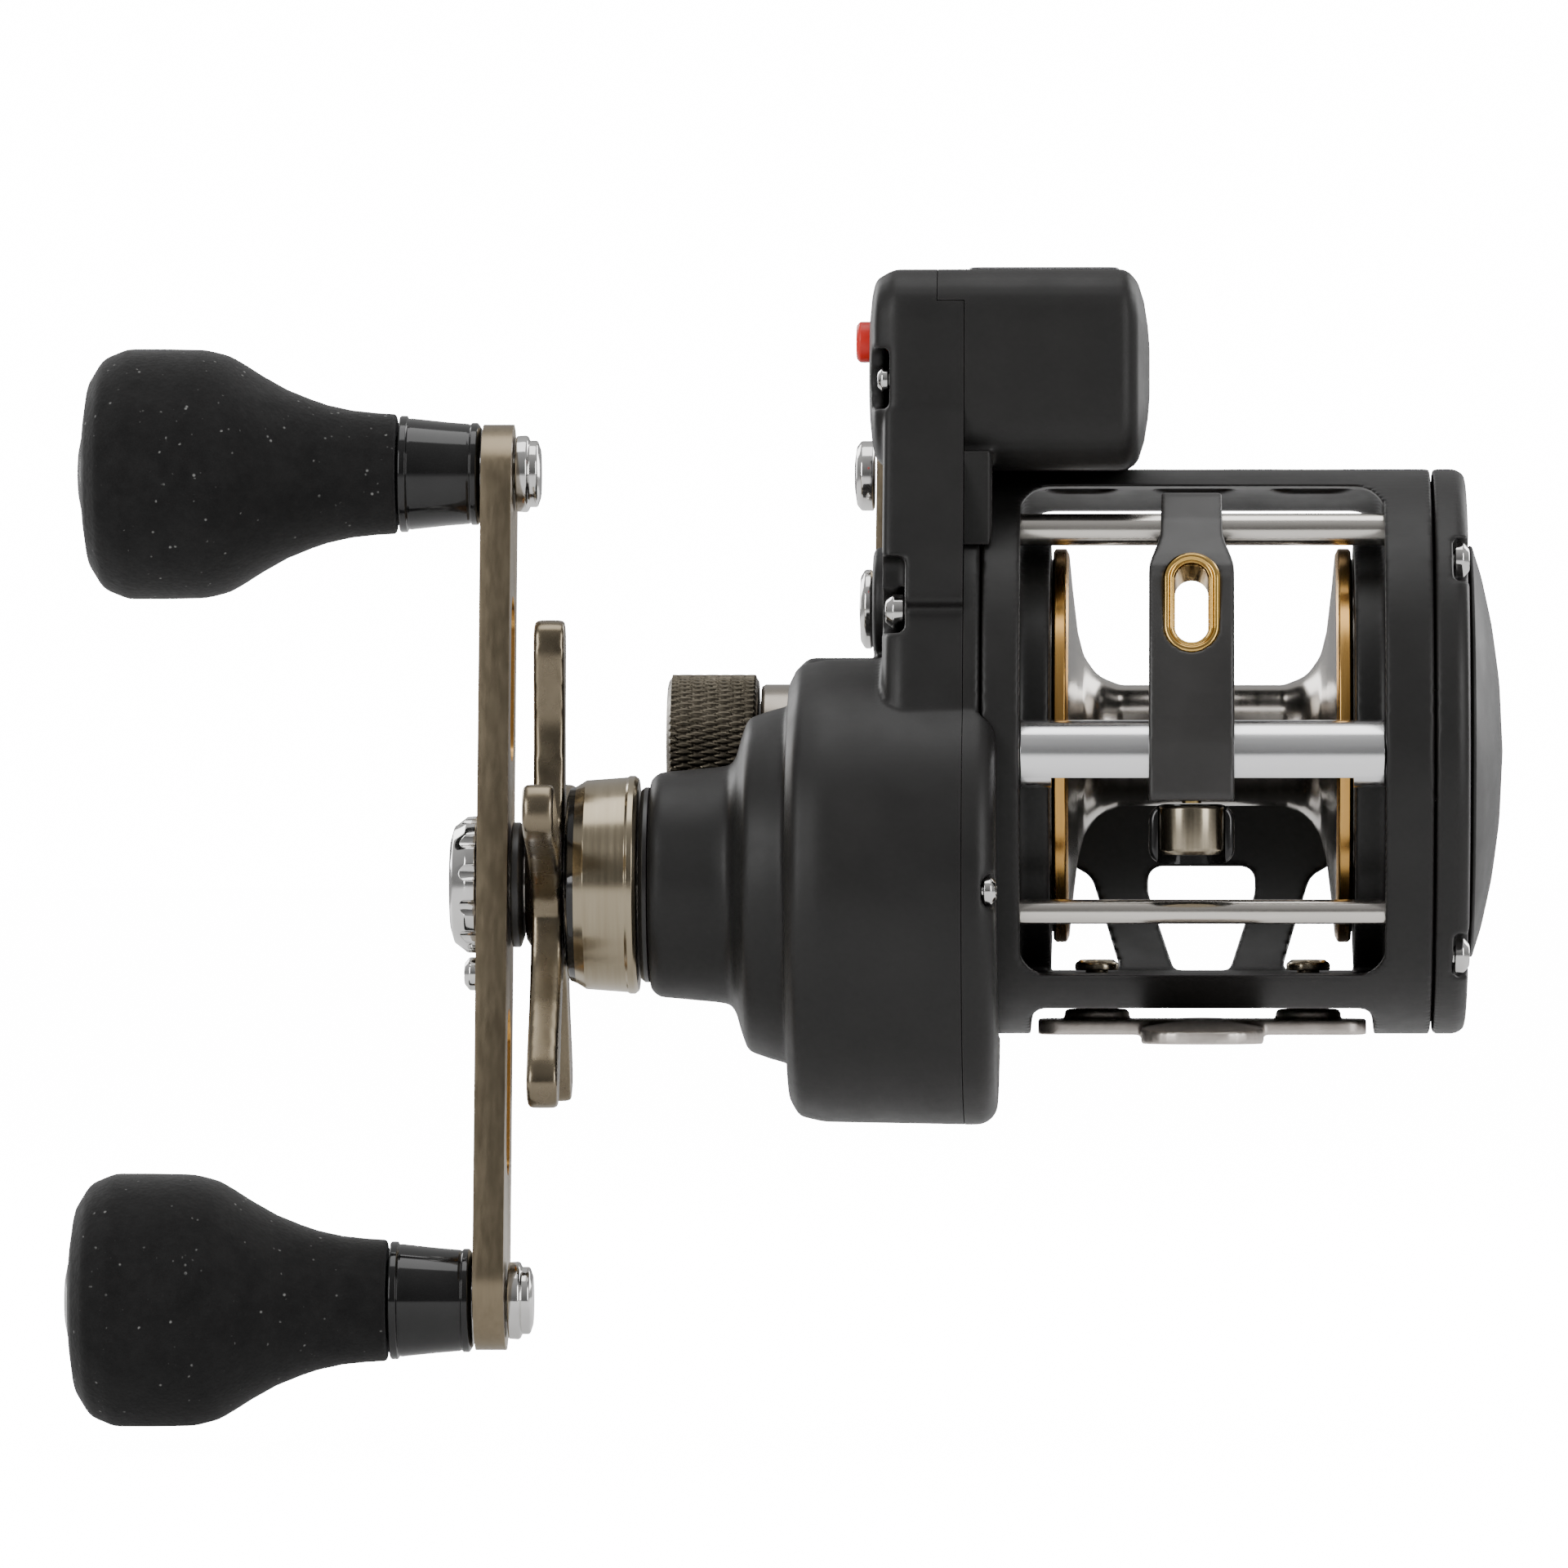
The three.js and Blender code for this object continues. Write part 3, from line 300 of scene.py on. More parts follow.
class Nodes(Tree):
    """A material's node tree, with short calls for what the finishes share."""

    def __init__(self, name, roughness, metallic=0.0, **sockets):
        self.material = bpy.data.materials.new(name)
        super().__init__(self.material)
        self.shader = self.tree.nodes["Principled BSDF"]
        self.shader.inputs["Metallic"].default_value = metallic
        self.shader.inputs["Roughness"].default_value = roughness
        for socket, value in sockets.items():
            self.shader.inputs[socket.replace("_", " ")].default_value = value
        self.place = self.add("ShaderNodeTexCoord").outputs["Object"]
        self.height = None

    def noise(self, scale, detail=2.0, stretch=None):
        vector = self.place
        if stretch:
            vector = self.add("ShaderNodeMapping", Vector=vector, Scale=stretch).outputs["Vector"]
        node = self.add("ShaderNodeTexNoise", Vector=vector, Scale=scale, Detail=detail)
        return node.outputs["Fac"]

    def cells(self, scale):
        return self.add("ShaderNodeTexVoronoi", Vector=self.place, Scale=scale).outputs["Distance"]

    def ranged(self, value, low, high, new_low, new_high):
        node = self.add(
            "ShaderNodeMapRange", Value=value, From_Min=low, From_Max=high, To_Min=new_low, To_Max=new_high,
        )
        return node.outputs["Result"]

    def patches(self, scale, detail, new_low=0.0, new_high=1.0, low=0.3, high=0.7):
        """Noise as soft patches between two values."""
        return self.ranged(self.noise(scale, detail), low, high, new_low, new_high)

    def mix(self, factor, a, b):
        node = self.tree.nodes.new("ShaderNodeMix")
        node.data_type = "RGBA"
        for socket, value in ((0, factor), (6, a), (7, b)):
            self.set(node, socket, value)
        return node.outputs[2]

    def edges(self, radius, low=0.0, high=0.12):
        """1 along convex and concave edges, 0 on flats."""
        bevelled = self.add("ShaderNodeBevel", Radius=radius * MM).outputs["Normal"]
        true = self.add("ShaderNodeNewGeometry").outputs["Normal"]
        dot = self.tree.nodes.new("ShaderNodeVectorMath")
        dot.operation = "DOT_PRODUCT"
        self.set(dot, 0, bevelled)
        self.set(dot, 1, true)
        return self.ranged(dot.outputs["Value"], 1.0 - low, 1.0 - high, 0.0, 1.0)

    def bump(self, height, distance, strength):
        node = self.add("ShaderNodeBump", Height=height, Distance=distance * MM, Strength=strength)
        if self.height is not None:
            self.set(node, "Normal", self.height)
        self.height = node.outputs["Normal"]
        self.set(self.shader, "Normal", self.height)

    def colour(self, value):
        self.set(self.shader, "Base Color", value)

    def roughness(self, value):
        self.set(self.shader, "Roughness", value)


def rgb(r, g, b):
    return (r, g, b, 1.0)


def painted(name, dark, light, roughness, grain=2600.0, depth=0.012, edge_highlight_level=0.35, specular=0.34):
    """Satin paint or moulded composite: fine orange peel, faint mottling and a painted highlight along the edges,
    in patches.
    """
    n = Nodes(name, roughness, 0.0, Specular_IOR_Level=specular)
    mottle = n.patches(90.0, 3.0, low=0.35, high=0.65)
    base = n.mix(mottle, dark, light)
    # painted highlight: convex and concave edges are lightened in patches toward 3.2 times the light colour
    edge_highlight = n.maths("MULTIPLY", n.edges(0.35), n.patches(420.0, 4.0, 0.1, edge_highlight_level, low=0.4, high=0.7))
    n.colour(n.mix(edge_highlight, base, rgb(*(min(1.0, 3.2 * c) for c in light[:3]))))
    n.roughness(n.patches(160.0, 4.0, roughness - 0.04, roughness + 0.04))
    n.bump(n.noise(grain, 2.0), depth, 0.5)
    return n.material


def brushed(name, dark, light, roughness, stretch, depth=0.003):
    """Metal with fine lines along one axis, as brushing or turning leaves them."""
    n = Nodes(name, roughness, 1.0)
    lines = n.noise(1400.0, 2.0, stretch)
    n.colour(n.mix(n.ranged(lines, 0.3, 0.7, 0.0, 1.0), dark, light))
    n.roughness(n.ranged(lines, 0.3, 0.7, roughness * 0.88, roughness * 1.14))
    n.bump(lines, depth, 0.25)
    return n.material


def polished(name, dark, light, roughness, metallic=1.0):
    """Smooth metal or plastic with faint smears and hairline scratches."""
    n = Nodes(name, roughness, metallic)
    n.colour(n.mix(n.patches(130.0, 4.0, low=0.35, high=0.65), dark, light))
    n.roughness(n.patches(240.0, 5.0, roughness * 0.85, roughness * 1.3, low=0.35, high=0.75))
    n.bump(n.noise(1500.0, 3.0, (1.0, 0.25, 0.25)), 0.0012, 0.25)
    return n.material


def foam(name):
    """Closed-cell EVA: dark grey, finely pored, with pale specks and a soft sheen."""
    n = Nodes(name, 0.92, 0.0, Sheen_Weight=0.1, Sheen_Roughness=0.5, Specular_IOR_Level=0.2)
    tone = n.patches(260.0, 5.0)
    base = n.mix(tone, rgb(0.0044, 0.0043, 0.0043), rgb(0.0085, 0.0083, 0.0082))
    speck = n.cells(950.0)
    chosen = n.patches(620.0, 1.0, low=0.60, high=0.66)
    dots = n.maths("MULTIPLY", n.ranged(speck, 0.10, 0.24, 1.0, 0.0), chosen)
    n.colour(n.mix(dots, base, rgb(0.16, 0.16, 0.155)))
    n.roughness(n.patches(800.0, 3.0, 0.84, 0.98))
    n.bump(n.cells(1500.0), 0.05, 0.7)
    n.bump(n.noise(300.0, 4.0), 0.06, 0.5)
    return n.material


def knurled(name):
    """Dark gunmetal with a patina in the knurl's grooves and rubbed ridges."""
    n = Nodes(name, 0.33, 1.0)
    patina = n.patches(300.0, 4.0)
    base = n.mix(patina, rgb(0.07, 0.061, 0.045), rgb(0.12, 0.105, 0.08))
    n.colour(n.mix(n.edges(0.12, 0.02, 0.3), base, rgb(0.27, 0.24, 0.19)))
    n.roughness(n.patches(900.0, 2.0, 0.26, 0.4))
    n.bump(n.noise(2200.0, 2.0), 0.006, 0.3)
    return n.material


def woven(name):
    """Carbon cloth: small checks that lean two ways."""
    n = Nodes(name, 0.55)
    checks = n.add("ShaderNodeTexChecker", Vector=n.place, Scale=900.0).outputs["Fac"]
    n.colour(n.mix(checks, rgb(0.018, 0.018, 0.018), rgb(0.05, 0.05, 0.052)))
    n.roughness(n.ranged(checks, 0.0, 1.0, 0.45, 0.65))
    n.bump(checks, 0.03, 0.5)
    return n.material


def smoked(name):
    """Clear plastic with a grey tint."""
    n = Nodes(name, 0.05, 0.0, Transmission_Weight=0.85, IOR=1.49)
    cloud = n.patches(60.0, 2.0)
    n.colour(n.mix(cloud, rgb(0.36, 0.36, 0.38), rgb(0.46, 0.46, 0.48)))
    n.roughness(n.patches(300.0, 4.0, 0.03, 0.09, low=0.35, high=0.75))
    n.bump(n.noise(200.0, 2.0), 0.002, 0.2)
    return n.material


ALONG_X, ALONG_Z = (0.03, 1.0, 1.0), (1.0, 1.0, 0.03)
ROUND_X = (1.0, 0.05, 0.05)  # turning marks: rings about X, fine along it
ALL_WAYS = (0.3, 1.0, 0.3)  # a tumbled surface
BLACK_PAINT = painted("black_paint_finish", rgb(0.0078, 0.0073, 0.0071), rgb(0.0102, 0.0096, 0.0093), 0.46)
BLACK_COMPOSITE = painted("black_composite_finish", rgb(0.0078, 0.0073, 0.007), rgb(0.01, 0.0094, 0.009), 0.5)
SATIN_BLACK = painted(
    "satin_black_finish", rgb(0.02, 0.0192, 0.0185), rgb(0.026, 0.0248, 0.024), 0.36, 1800.0, 0.006,
    specular=0.5,
)
GLOSS_BLACK = polished("gloss_black_finish", rgb(0.006, 0.006, 0.006), rgb(0.01, 0.01, 0.01), 0.1, 0.0)
EVA_FOAM = foam("eva_foam_finish")
BRONZE = brushed("bronze_finish", rgb(0.235, 0.19, 0.128), rgb(0.262, 0.214, 0.146), 0.32, ALONG_Z, 0.0012)
BRONZE_POLISHED = polished("bronze_polished_finish", rgb(0.19, 0.157, 0.108), rgb(0.225, 0.187, 0.13), 0.27)
BRONZE_TURNED = brushed(
    "bronze_turned_finish", rgb(0.33, 0.278, 0.195), rgb(0.38, 0.325, 0.232), 0.2, ROUND_X, 0.0012,
)
GUNMETAL = brushed("gunmetal_finish", rgb(0.43, 0.4, 0.365), rgb(0.47, 0.44, 0.405), 0.2, ROUND_X, 0.001)
GUNMETAL_DARK = brushed(
    "gunmetal_dark_finish", rgb(0.25, 0.215, 0.155), rgb(0.35, 0.305, 0.228), 0.2, ALONG_Z,
)
KNURLED = knurled("knurled_finish")
CHROME = polished("chrome_finish", rgb(0.64, 0.63, 0.615), rgb(0.74, 0.73, 0.715), 0.1)
STEEL = brushed("satin_steel_finish", rgb(0.72, 0.685, 0.63), rgb(0.79, 0.755, 0.7), 0.2, ALONG_X, 0.001)
STEEL_FOOT = brushed("foot_steel_finish", rgb(0.55, 0.5, 0.46), rgb(0.68, 0.625, 0.58), 0.4, ALL_WAYS)
ALUMINIUM = brushed("aluminium_finish", rgb(0.93, 0.93, 0.94), rgb(0.97, 0.97, 0.98), 0.2, ALONG_X, 0.001)
ALUMINIUM_TINTED = polished("tinted_aluminium_finish", rgb(0.3, 0.27, 0.23), rgb(0.36, 0.33, 0.285), 0.24)
GOLD = polished("gold_finish", rgb(0.66, 0.4, 0.1), rgb(0.8, 0.52, 0.17), 0.13)
GOLD_ANODISED = brushed("gold_anodised_finish", rgb(0.56, 0.31, 0.085), rgb(0.66, 0.38, 0.115), 0.25, ROUND_X)
BRASS = brushed("brass_finish", rgb(0.5, 0.36, 0.14), rgb(0.62, 0.46, 0.2), 0.3, ROUND_X)
DIAL = painted("dial_finish", rgb(0.72, 0.71, 0.67), rgb(0.8, 0.79, 0.75), 0.45, 1500.0, 0.004, 0.1)
NUMERAL = painted("numeral_finish", rgb(0.012, 0.012, 0.012), rgb(0.02, 0.02, 0.02), 0.5, 1500.0, 0.004, 0.1)
RED = painted("red_finish", rgb(0.62, 0.018, 0.014), rgb(0.74, 0.028, 0.02), 0.34, 1500.0, 0.006, 0.12)
LENS = smoked("smoked_lens_finish")
CARBON = woven("carbon_finish")


def finish_piece(obj, node, material, accents=(), sharp=32):
    """Gives a piece its finish, its body and the CAD node that it stands for.

    An accent is (material, chooser): the faces whose centre, in millimetres, and normal it picks.
    """
    obj.name = f"{node}_shown"
    obj.data.materials.clear()
    obj.data.materials.append(material)
    obj.data.polygons.foreach_set("material_index", [0] * len(obj.data.polygons))
    for index, (accent, chosen) in enumerate(accents, 1):
        obj.data.materials.append(accent)
        for face in obj.data.polygons:
            if chosen(face.center / MM, face.normal):
                face.material_index = index
    obj.data.shade_smooth()
    obj.data.set_sharp_from_angle(angle=math.radians(sharp))
    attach(obj, BODY_OF[node])
    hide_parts(node)
    return obj


def turned_piece(node, material, profile, axis, radius, segments, closed=False, along="x", **finish):
    """A piece that is one body of revolution."""
    body = revolve(node, profile, axis, radius, segments, closed, along)
    return finish_piece(body, node, material, **finish)


# ---- camera, floor and light ---------------------------------------------------------
CAMERA_PLACE = Vector((-1.84, -1700.0, 33.8))
AIM = Vector((-55.3, 0.0, 33.8))
LENS_LENGTH = 295.1
FLOOR_Z = -52.5
WHITE_LEVEL = 16.0  # what the camera sees of the surroundings and the floor
WORLD_LEVEL = 0.9
FRONT_LEVEL = 0.46  # share of the light that comes from in front of the reel
SKY = [(0.0, 0.75), (0.30, 0.62), (0.44, 0.42), (0.56, 0.36), (0.70, 0.54), (1.0, 0.78)]  # height, level
LIT_POINT = (-50.0, 0.0, 34.0)

camera_data = bpy.data.cameras.new("camera")
camera_data.lens = LENS_LENGTH
camera_data.sensor_width = 36.0
camera_data.clip_start, camera_data.clip_end = 0.01, 60.0
camera = linked("camera", camera_data)
camera.location = CAMERA_PLACE * MM
camera.rotation_euler = (AIM - CAMERA_PLACE).to_track_quat("-Z", "Y").to_euler()
bpy.context.scene.camera = camera


def studio_world():
    """Soft surroundings: bright overhead, behind and below, darker in front of the reel."""
    world = bpy.data.worlds.new("studio")
    n = Tree(world)
    split = n.add("ShaderNodeSeparateXYZ", Vector=n.add("ShaderNodeTexCoord").outputs["Generated"])
    height = n.add("ShaderNodeMapRange", Value=split.outputs["Z"], From_Min=-1.0)
    ramp = n.add("ShaderNodeValToRGB", Fac=height.outputs["Result"])
    elements = ramp.color_ramp.elements
    for place, _ in SKY[1:-1]:
        elements.new(place)
    for element, (_, level) in zip(elements, SKY):
        element.color = rgb(level, level, level)
    behind = n.add(
        "ShaderNodeMapRange", Value=split.outputs["Y"], From_Min=-1.0, From_Max=0.3, To_Min=FRONT_LEVEL,
    )
    strength = n.maths("MULTIPLY", behind.outputs["Result"], WORLD_LEVEL)
    lit = n.add("ShaderNodeBackground", Color=ramp.outputs["Color"], Strength=strength)
    seen = n.tree.nodes["Background"]
    n.set(seen, "Color", rgb(1.0, 1.0, 1.0))
    n.set(seen, "Strength", WHITE_LEVEL)
    mixed = n.add("ShaderNodeMixShader", Fac=n.add("ShaderNodeLightPath").outputs["Is Camera Ray"])
    n.set(mixed, 1, lit.outputs[0])
    n.set(mixed, 2, seen.outputs[0])
    n.set(n.tree.nodes["World Output"], "Surface", mixed.outputs[0])
    bpy.context.scene.world = world


def studio_floor():
    floor = extrude("floor", circle(AIM.x, 0.0, 9000.0, 96), FLOOR_Z - 20.0, FLOOR_Z, "z")
    n = Nodes("floor_finish", 0.8)
    cloud = n.patches(3.0, 2.0)
    n.colour(n.mix(cloud, rgb(0.80, 0.80, 0.80), rgb(0.82, 0.82, 0.82)))
    n.set(n.shader, "Emission Color", rgb(1.0, 1.0, 1.0))
    seen = n.add("ShaderNodeLightPath").outputs["Is Camera Ray"]
    n.set(n.shader, "Emission Strength", n.maths("MULTIPLY", seen, WHITE_LEVEL - 0.8))
    floor.data.materials.append(n.material)


def softbox(name, place, size, power):
    data = bpy.data.lights.new(name, "AREA")
    data.shape = "RECTANGLE"
    data.size, data.size_y = size[0] * MM, size[1] * MM
    data.energy = power
    lamp = linked(name, data)
    lamp.location = Vector(place) * MM
    lamp.rotation_euler = (Vector(LIT_POINT) - Vector(place)).to_track_quat("-Z", "Y").to_euler()


studio_world()
studio_floor()
softbox("box_front_left", (-900, -900, 500), (500, 900), 9.0)
softbox("box_front_right", (900, -800, 450), (450, 900), 8.0)
softbox("box_back_left", (-800, 900, 450), (500, 800), 7.0)
softbox("box_back_right", (800, 900, 450), (500, 800), 7.0)
softbox("box_top", (-50, 0, 1300), (900, 900), 6.5)


# ---- handle arm, nut and knobs: drawn upright about the crank axis, then tilted ------
HUB = (0.0, 0.0)


def tilted(obj):
    """From the upright drawing to the crank's place at rest."""
    to_rest = Matrix.Rotation(-CRANK_TILT, 4, "X")
    obj.data.transform(Matrix.Translation(Vector((0, *DRIVE)) * MM) @ to_rest)
    return obj


def handle_arm():
    x0, x1 = span("handle_arm", 0)
    half, reach = 9.25, 52.2
    slot_z, slot_half, slot_tall, edge = 27.5, 4.2, 11.0, 0.75
    arm = extrude("arm", stadium(0, 0, half, reach + half, 40), x0, x1, "x")
    tools = [rod(x0 - 1, x1 + 1, 3.7, HUB)]
    for side in (-1, 1):
        slot = stadium(0, side * slot_z, slot_half, slot_tall, 24)
        tools.append(rod(x0 - 1, x1 + 1, 2.8, (0, side * KNOB_REACH)))
        tools.append(extrude("slot", slot, x0 - 1, x1 + 1, "x"))
    bevel(cut(arm, *tools), edge, 4)
    upright = Matrix.Rotation(CRANK_TILT, 3, "X")

    def in_slot(centre, normal):
        local = upright @ (centre - Vector((0, *DRIVE)))
        beside, above = abs(local.y), abs(abs(local.z) - slot_z)
        return abs(normal.x) < 0.9 and beside < slot_half + 0.7 and above < slot_tall + 0.6

    tilted(arm)

    finish_piece(arm, "handle_arm", BRONZE, [(GOLD_ANODISED, in_slot)])


def handle_nut():
    flutes, flute_r, flute_reach = 12, 1.35, 9.65
    line = [
        (-98.4, 0), (-98.4, 5.8, 0.5), (-97.9, 7.6, 0.6), (-96.2, 8.9, 0.6), (-94.85, 9.0, 0.2), (-94.85, 0),
    ]
    nut = revolve("nut", line, HUB, 0.2, 120)
    tools = []
    for k in range(flutes):
        a = 2 * math.pi * k / flutes
        place = (flute_reach * math.cos(a), flute_reach * math.sin(a))
        tools.append(rod(-99, -94, flute_r, place, segments=24))
    tools.append(revolve("dish", [(-99.5, 0), (-99.5, 4.4), (-98.0, 3.7), (-98.0, 0)], HUB, 0.1, 64))
    bevel(cut(nut, *tools), 0.18, 2, 35)
    return finish_piece(tilted(nut), "handle_nut", CHROME)


def cross_recess(depth_from, depth_to, centre, arm, width=0.42):
    """The two slots and the core of a cross-shaped screwdriver recess, cut along X."""
    y, z = centre
    lean = 0.5
    low, high = sorted((depth_from, depth_to))
    parts = []
    for a, b in ((arm, width / 2), (width / 2, arm)):
        slot = extrude("recess", rectangle(y - a, y + a, z - b, z + b), low, high, "x")
        parts.append(turn(slot, lean, (0, y, z)))
    core = [(depth_from, 0), (depth_from, 0.62), (depth_to, 0.3), (depth_to, 0)]
    return [*parts, revolve("core", core, centre, 0, 24)]


def domed_screw(node, seat, face, r, centre, shank_x, shank_r, tilt=False):
    """A cap screw along X with a domed head, a rounded rim and a cross recess."""
    out = 1 if face > seat else -1
    depth = abs(face - seat)
    line = [
        (shank_x, 0), (shank_x, shank_r), (seat, shank_r), (seat, r, 0.15),
        (face - out * depth * 0.45, r, 0.45), (face - out * 0.12, r * 0.62, 0.6), (face, 0),
    ]
    screw = revolve(node, line, centre, 0.1, 64)
    bevel(cut(screw, *cross_recess(face + out * 0.5, face - out * 0.85, centre, 0.62 * r)), 0.05, 2)
    if tilt:
        tilted(screw)
    return finish_piece(screw, node, CHROME)


def knobs():
    grip_line = [
        (-106.1, 4.95), (-106.1, 7.9, 0.5), (-108.8, 8.06), (-112, 8.4), (-115.2, 9.1), (-117.4, 9.85),
        (-120.6, 11.15), (-123.8, 12.95), (-126, 14.35), (-128.1, 15.6, 6.0), (-131.3, 16.4, 8.0),
        (-136.7, 16.5), (-141.6, 16.5, 3.4), (-144.8, 15.2, 3.0), (-146.7, 12.1, 2.6), (-147.3, 8.4, 0.6),
        (-146.7, 7.75, 0.3), (-144.9, 7.7), (-144.9, 4.95),
    ]
    ferrule_line = [
        (-94.9, 2.9), (-94.9, 6.0, 0.3), (-95.4, 6.75, 0.3), (-96.2, 6.75, 0.2), (-96.35, 6.5, 0.1),
        (-96.7, 6.62, 0.1), (-99.5, 6.85, 5.0), (-104.2, 7.35), (-104.5, 7.3, 0.1), (-104.7, 7.68, 0.15),
        (-105.7, 7.7, 0.3), (-105.7, 4.5), (-144, 4.5), (-144, 2.9),
    ]
    cap_line = [
        (-145.3, 0), (-145.3, 7.5), (-146.9, 7.5, 0.5), (-147.45, 6.4, 1.0), (-148.1, 3.4, 3.0), (-148.3, 0),
    ]
    spindle_line = [
        (-143.4, 0), (-143.4, 2.5), (-90.3, 2.5), (-90.3, 5.0, 0.2), (-88.8, 5.1, 0.5), (-88.5, 4.4, 0.1),
        (-88.4, 4.4, 0.1), (-87.5, 4.4, 0.4), (-87.1, 3.2, 0.6), (-87.0, 0),
    ]
    for side, name in ((1, "upper"), (-1, "lower")):
        axis = (0, side * KNOB_REACH)
        grip = turned_piece(f"knob_grip_{name}", EVA_FOAM, grip_line, axis, 0.4, 128, closed=True, sharp=60)
        tilted(grip)
        tilted(turned_piece(f"knob_ferrule_{name}", GLOSS_BLACK, ferrule_line, axis, 0.15, 96, closed=True))
        tilted(turned_piece(f"knob_cap_{name}", GLOSS_BLACK, cap_line, axis, 0.3, 96, sharp=50))
        tilted(turned_piece(f"knob_spindle_{name}", CHROME, spindle_line, axis, 0.15, 80))


def collar():
    line = [(-90.3, 4.3), (-90.3, 8.2, 0.3), (-89.2, 8.2, 0.3), (-88.7, 6.8, 0.3), (-88.7, 4.3)]
    tilted(turned_piece("handle_collar", SATIN_BLACK, line, HUB, 0.1, 80, closed=True))


handle_arm()
handle_nut()
domed_screw("nut_lock_screw", -94.9, -96.7, 2.2, (1.4, -11.6), -94.8, 1.2, tilt=True)
knobs()
collar()


# ---- star drag -----------------------------------------------------------------------
def star_outline():
    """Five arms that swell at their tips, joined by arcs round the hub."""
    arms, hub, tip = 5, 9.6, 34.9
    side = [
        (4.6, 8.6, 2.0), (3.0, 14.0, 8.0), (2.75, 21.0, 10.0), (3.6, tip - 4.4, 4.0),
        (3.1, tip - 1.0, 2.4), (0.0, tip, 3.4),
    ]
    arm = side + [(-u, v, r) for u, v, r in reversed(side[:-1])]
    points = []
    for k in range(arms):
        lean = Matrix.Rotation(-2 * math.pi * k / arms, 2)
        between = Matrix.Rotation(-2 * math.pi * (k + 0.5) / arms, 2)
        points += [(*(lean @ Vector((-u, v))), r) for u, v, r in arm]
        points.append((*(between @ Vector((0, hub))), 6.0))
    outline = fillet(points, closed=True, step=math.radians(10))
    return [Vector((DRIVE[0] + u, DRIVE[1] + v)) for u, v in outline]


def star():
    wheel = extrude("star", star_outline(), -87.5, -83.4, "x")
    cast(cut(wheel, rod(-90, -80, 8.0, DRIVE)), 0.3, 34)
    boss_line = [
        (-88.4, 4.5), (-88.4, 7.2, 0.3), (-87.9, 8.0, 0.3), (-87.0, 9.6, 0.6), (-83.9, 9.7, 0.3),
        (-83.3, 9.0), (-83.3, 4.5),
    ]
    merge(wheel, revolve("boss", boss_line, DRIVE, 0.2, 96, closed=True))
    finish_piece(wheel, "star_drag_wheel", BRONZE_POLISHED)
    hub_line = [
        (-83.0, 4.5), (-83.0, 11.8, 0.3), (-82.7, 12.6, 0.3), (-81.9, 12.9, 0.5), (-80.9, 13.5, 0.3),
        (-80.6, 13.7, 0.2), (-75.2, 14.1, 0.2), (-74.9, 14.3, 0.15), (-74.2, 14.3, 0.2), (-73.7, 13.9, 0.2),
        (-73.7, 4.5),
    ]
    turned_piece(
        "star_drag_hub", BRONZE_TURNED, hub_line, DRIVE, 0.2, 128, closed=True,
        # painted shade: faces left of x = -81.4 are gloss black, standing in for the dark of the hub's recessed
        # left end
        accents=[(GLOSS_BLACK, lambda centre, normal: centre.x < -81.4)],
    )
    sleeve_line = [(-73.4, 6.2), (-73.4, 12.4, 0.3), (-72.9, 12.8, 0.2), (-72.3, 12.8), (-72.3, 6.2)]
    turned_piece("neck_sleeve", SATIN_BLACK, sleeve_line, DRIVE, 0.1, 96, closed=True)


star()


# ---- cast control --------------------------------------------------------------------
def cast_knob():
    """A cap with a diamond knurl: two crossing sets of helical grooves in its side."""
    rows, around, starts = 56, 416, 60
    x0, x1, r, groove = -70.0, -59.0, 9.4, 0.34
    twist = 0.33
    points = []

    def ring(x, radius):
        ids = []
        for k in range(around):
            a = 2 * math.pi * k / around
            depth = radius(x, a) if callable(radius) else radius
            ids.append(len(points))
            points.append((x, SPOOL[0] + depth * math.cos(a), SPOOL[1] + depth * math.sin(a)))
        return ids

    def side(x, a):
        along = (x - x0) / (x1 - x0)
        left = abs(math.sin(starts * a / 2 + along * starts * twist / 2))
        right = abs(math.sin(starts * a / 2 - along * starts * twist / 2))
        return r - groove * (1 - min(left, right)) ** 2.0

    rings = [ring(x0 - 0.6, 3.0), ring(x0 - 0.6, 7.9), ring(x0 - 0.45, 8.5), ring(x0 - 0.12, 8.95)]
    for k in range(rows + 1):
        rings.append(ring(x0 + (x1 - x0) * k / rows, side))
    rings += [ring(x1 + 0.15, 8.95), ring(x1 + 0.4, 8.6), ring(x1 + 0.4, 3.6), ring(-69.0, 3.6)]
    faces = [*skin(rings), rings[0], rings[-1]]
    finish_piece(new_object("cast_knob", points, faces), "cast_control_knob", KNURLED, sharp=75)


def cast_boss():
    line = [(-58.2, 3.2), (-58.2, 7.8, 0.3), (-57.7, 8.1, 0.2), (-54.2, 8.1), (-54.2, 3.2)]
    turned_piece("cast_control_boss", ALUMINIUM_TINTED, line, SPOOL, 0.1, 96, closed=True)


cast_knob()
cast_boss()


# ---- castings: frame, bridge plate, gear case and counter housing --------------------
RING_R, WALL, WINDOW = 37.3, 2.6, 24.0
FLOOR_LOW, FLOOR_TOP = 4.4, 8.9
SEAM, SEAM_HALF = -31.05, 0.05
STEP_X, STEP_Z = -34.6, 96.9  # the seam steps sideways under the lens
DRUM_R, STEP_R, LOBE_R = 30.6, 22.8, 11.6
COUNTER = {"y0": -24.0, "y1": 8.0, "z0": 74.9, "z1": 101.2, "left": -43.7, "right": -6.9}
PAD = (4.5, 57.7)  # raised round pad beside the clutch lever
LENS_END = -10.8  # right edge of the lens, where the counter's end starts to round off
UPPER_ROD, LOWER_ROD = middle_yz("upper_guide_rod"), middle_yz("lower_guard_rod")
RESET, BRIDGE_SCREW = middle_yz("reset_button"), middle_yz("bridge_screw")
FOOT_SCREWS = (middle("foot_screw_left", 0), middle("foot_screw_right", 0))
CIRCLE = 160


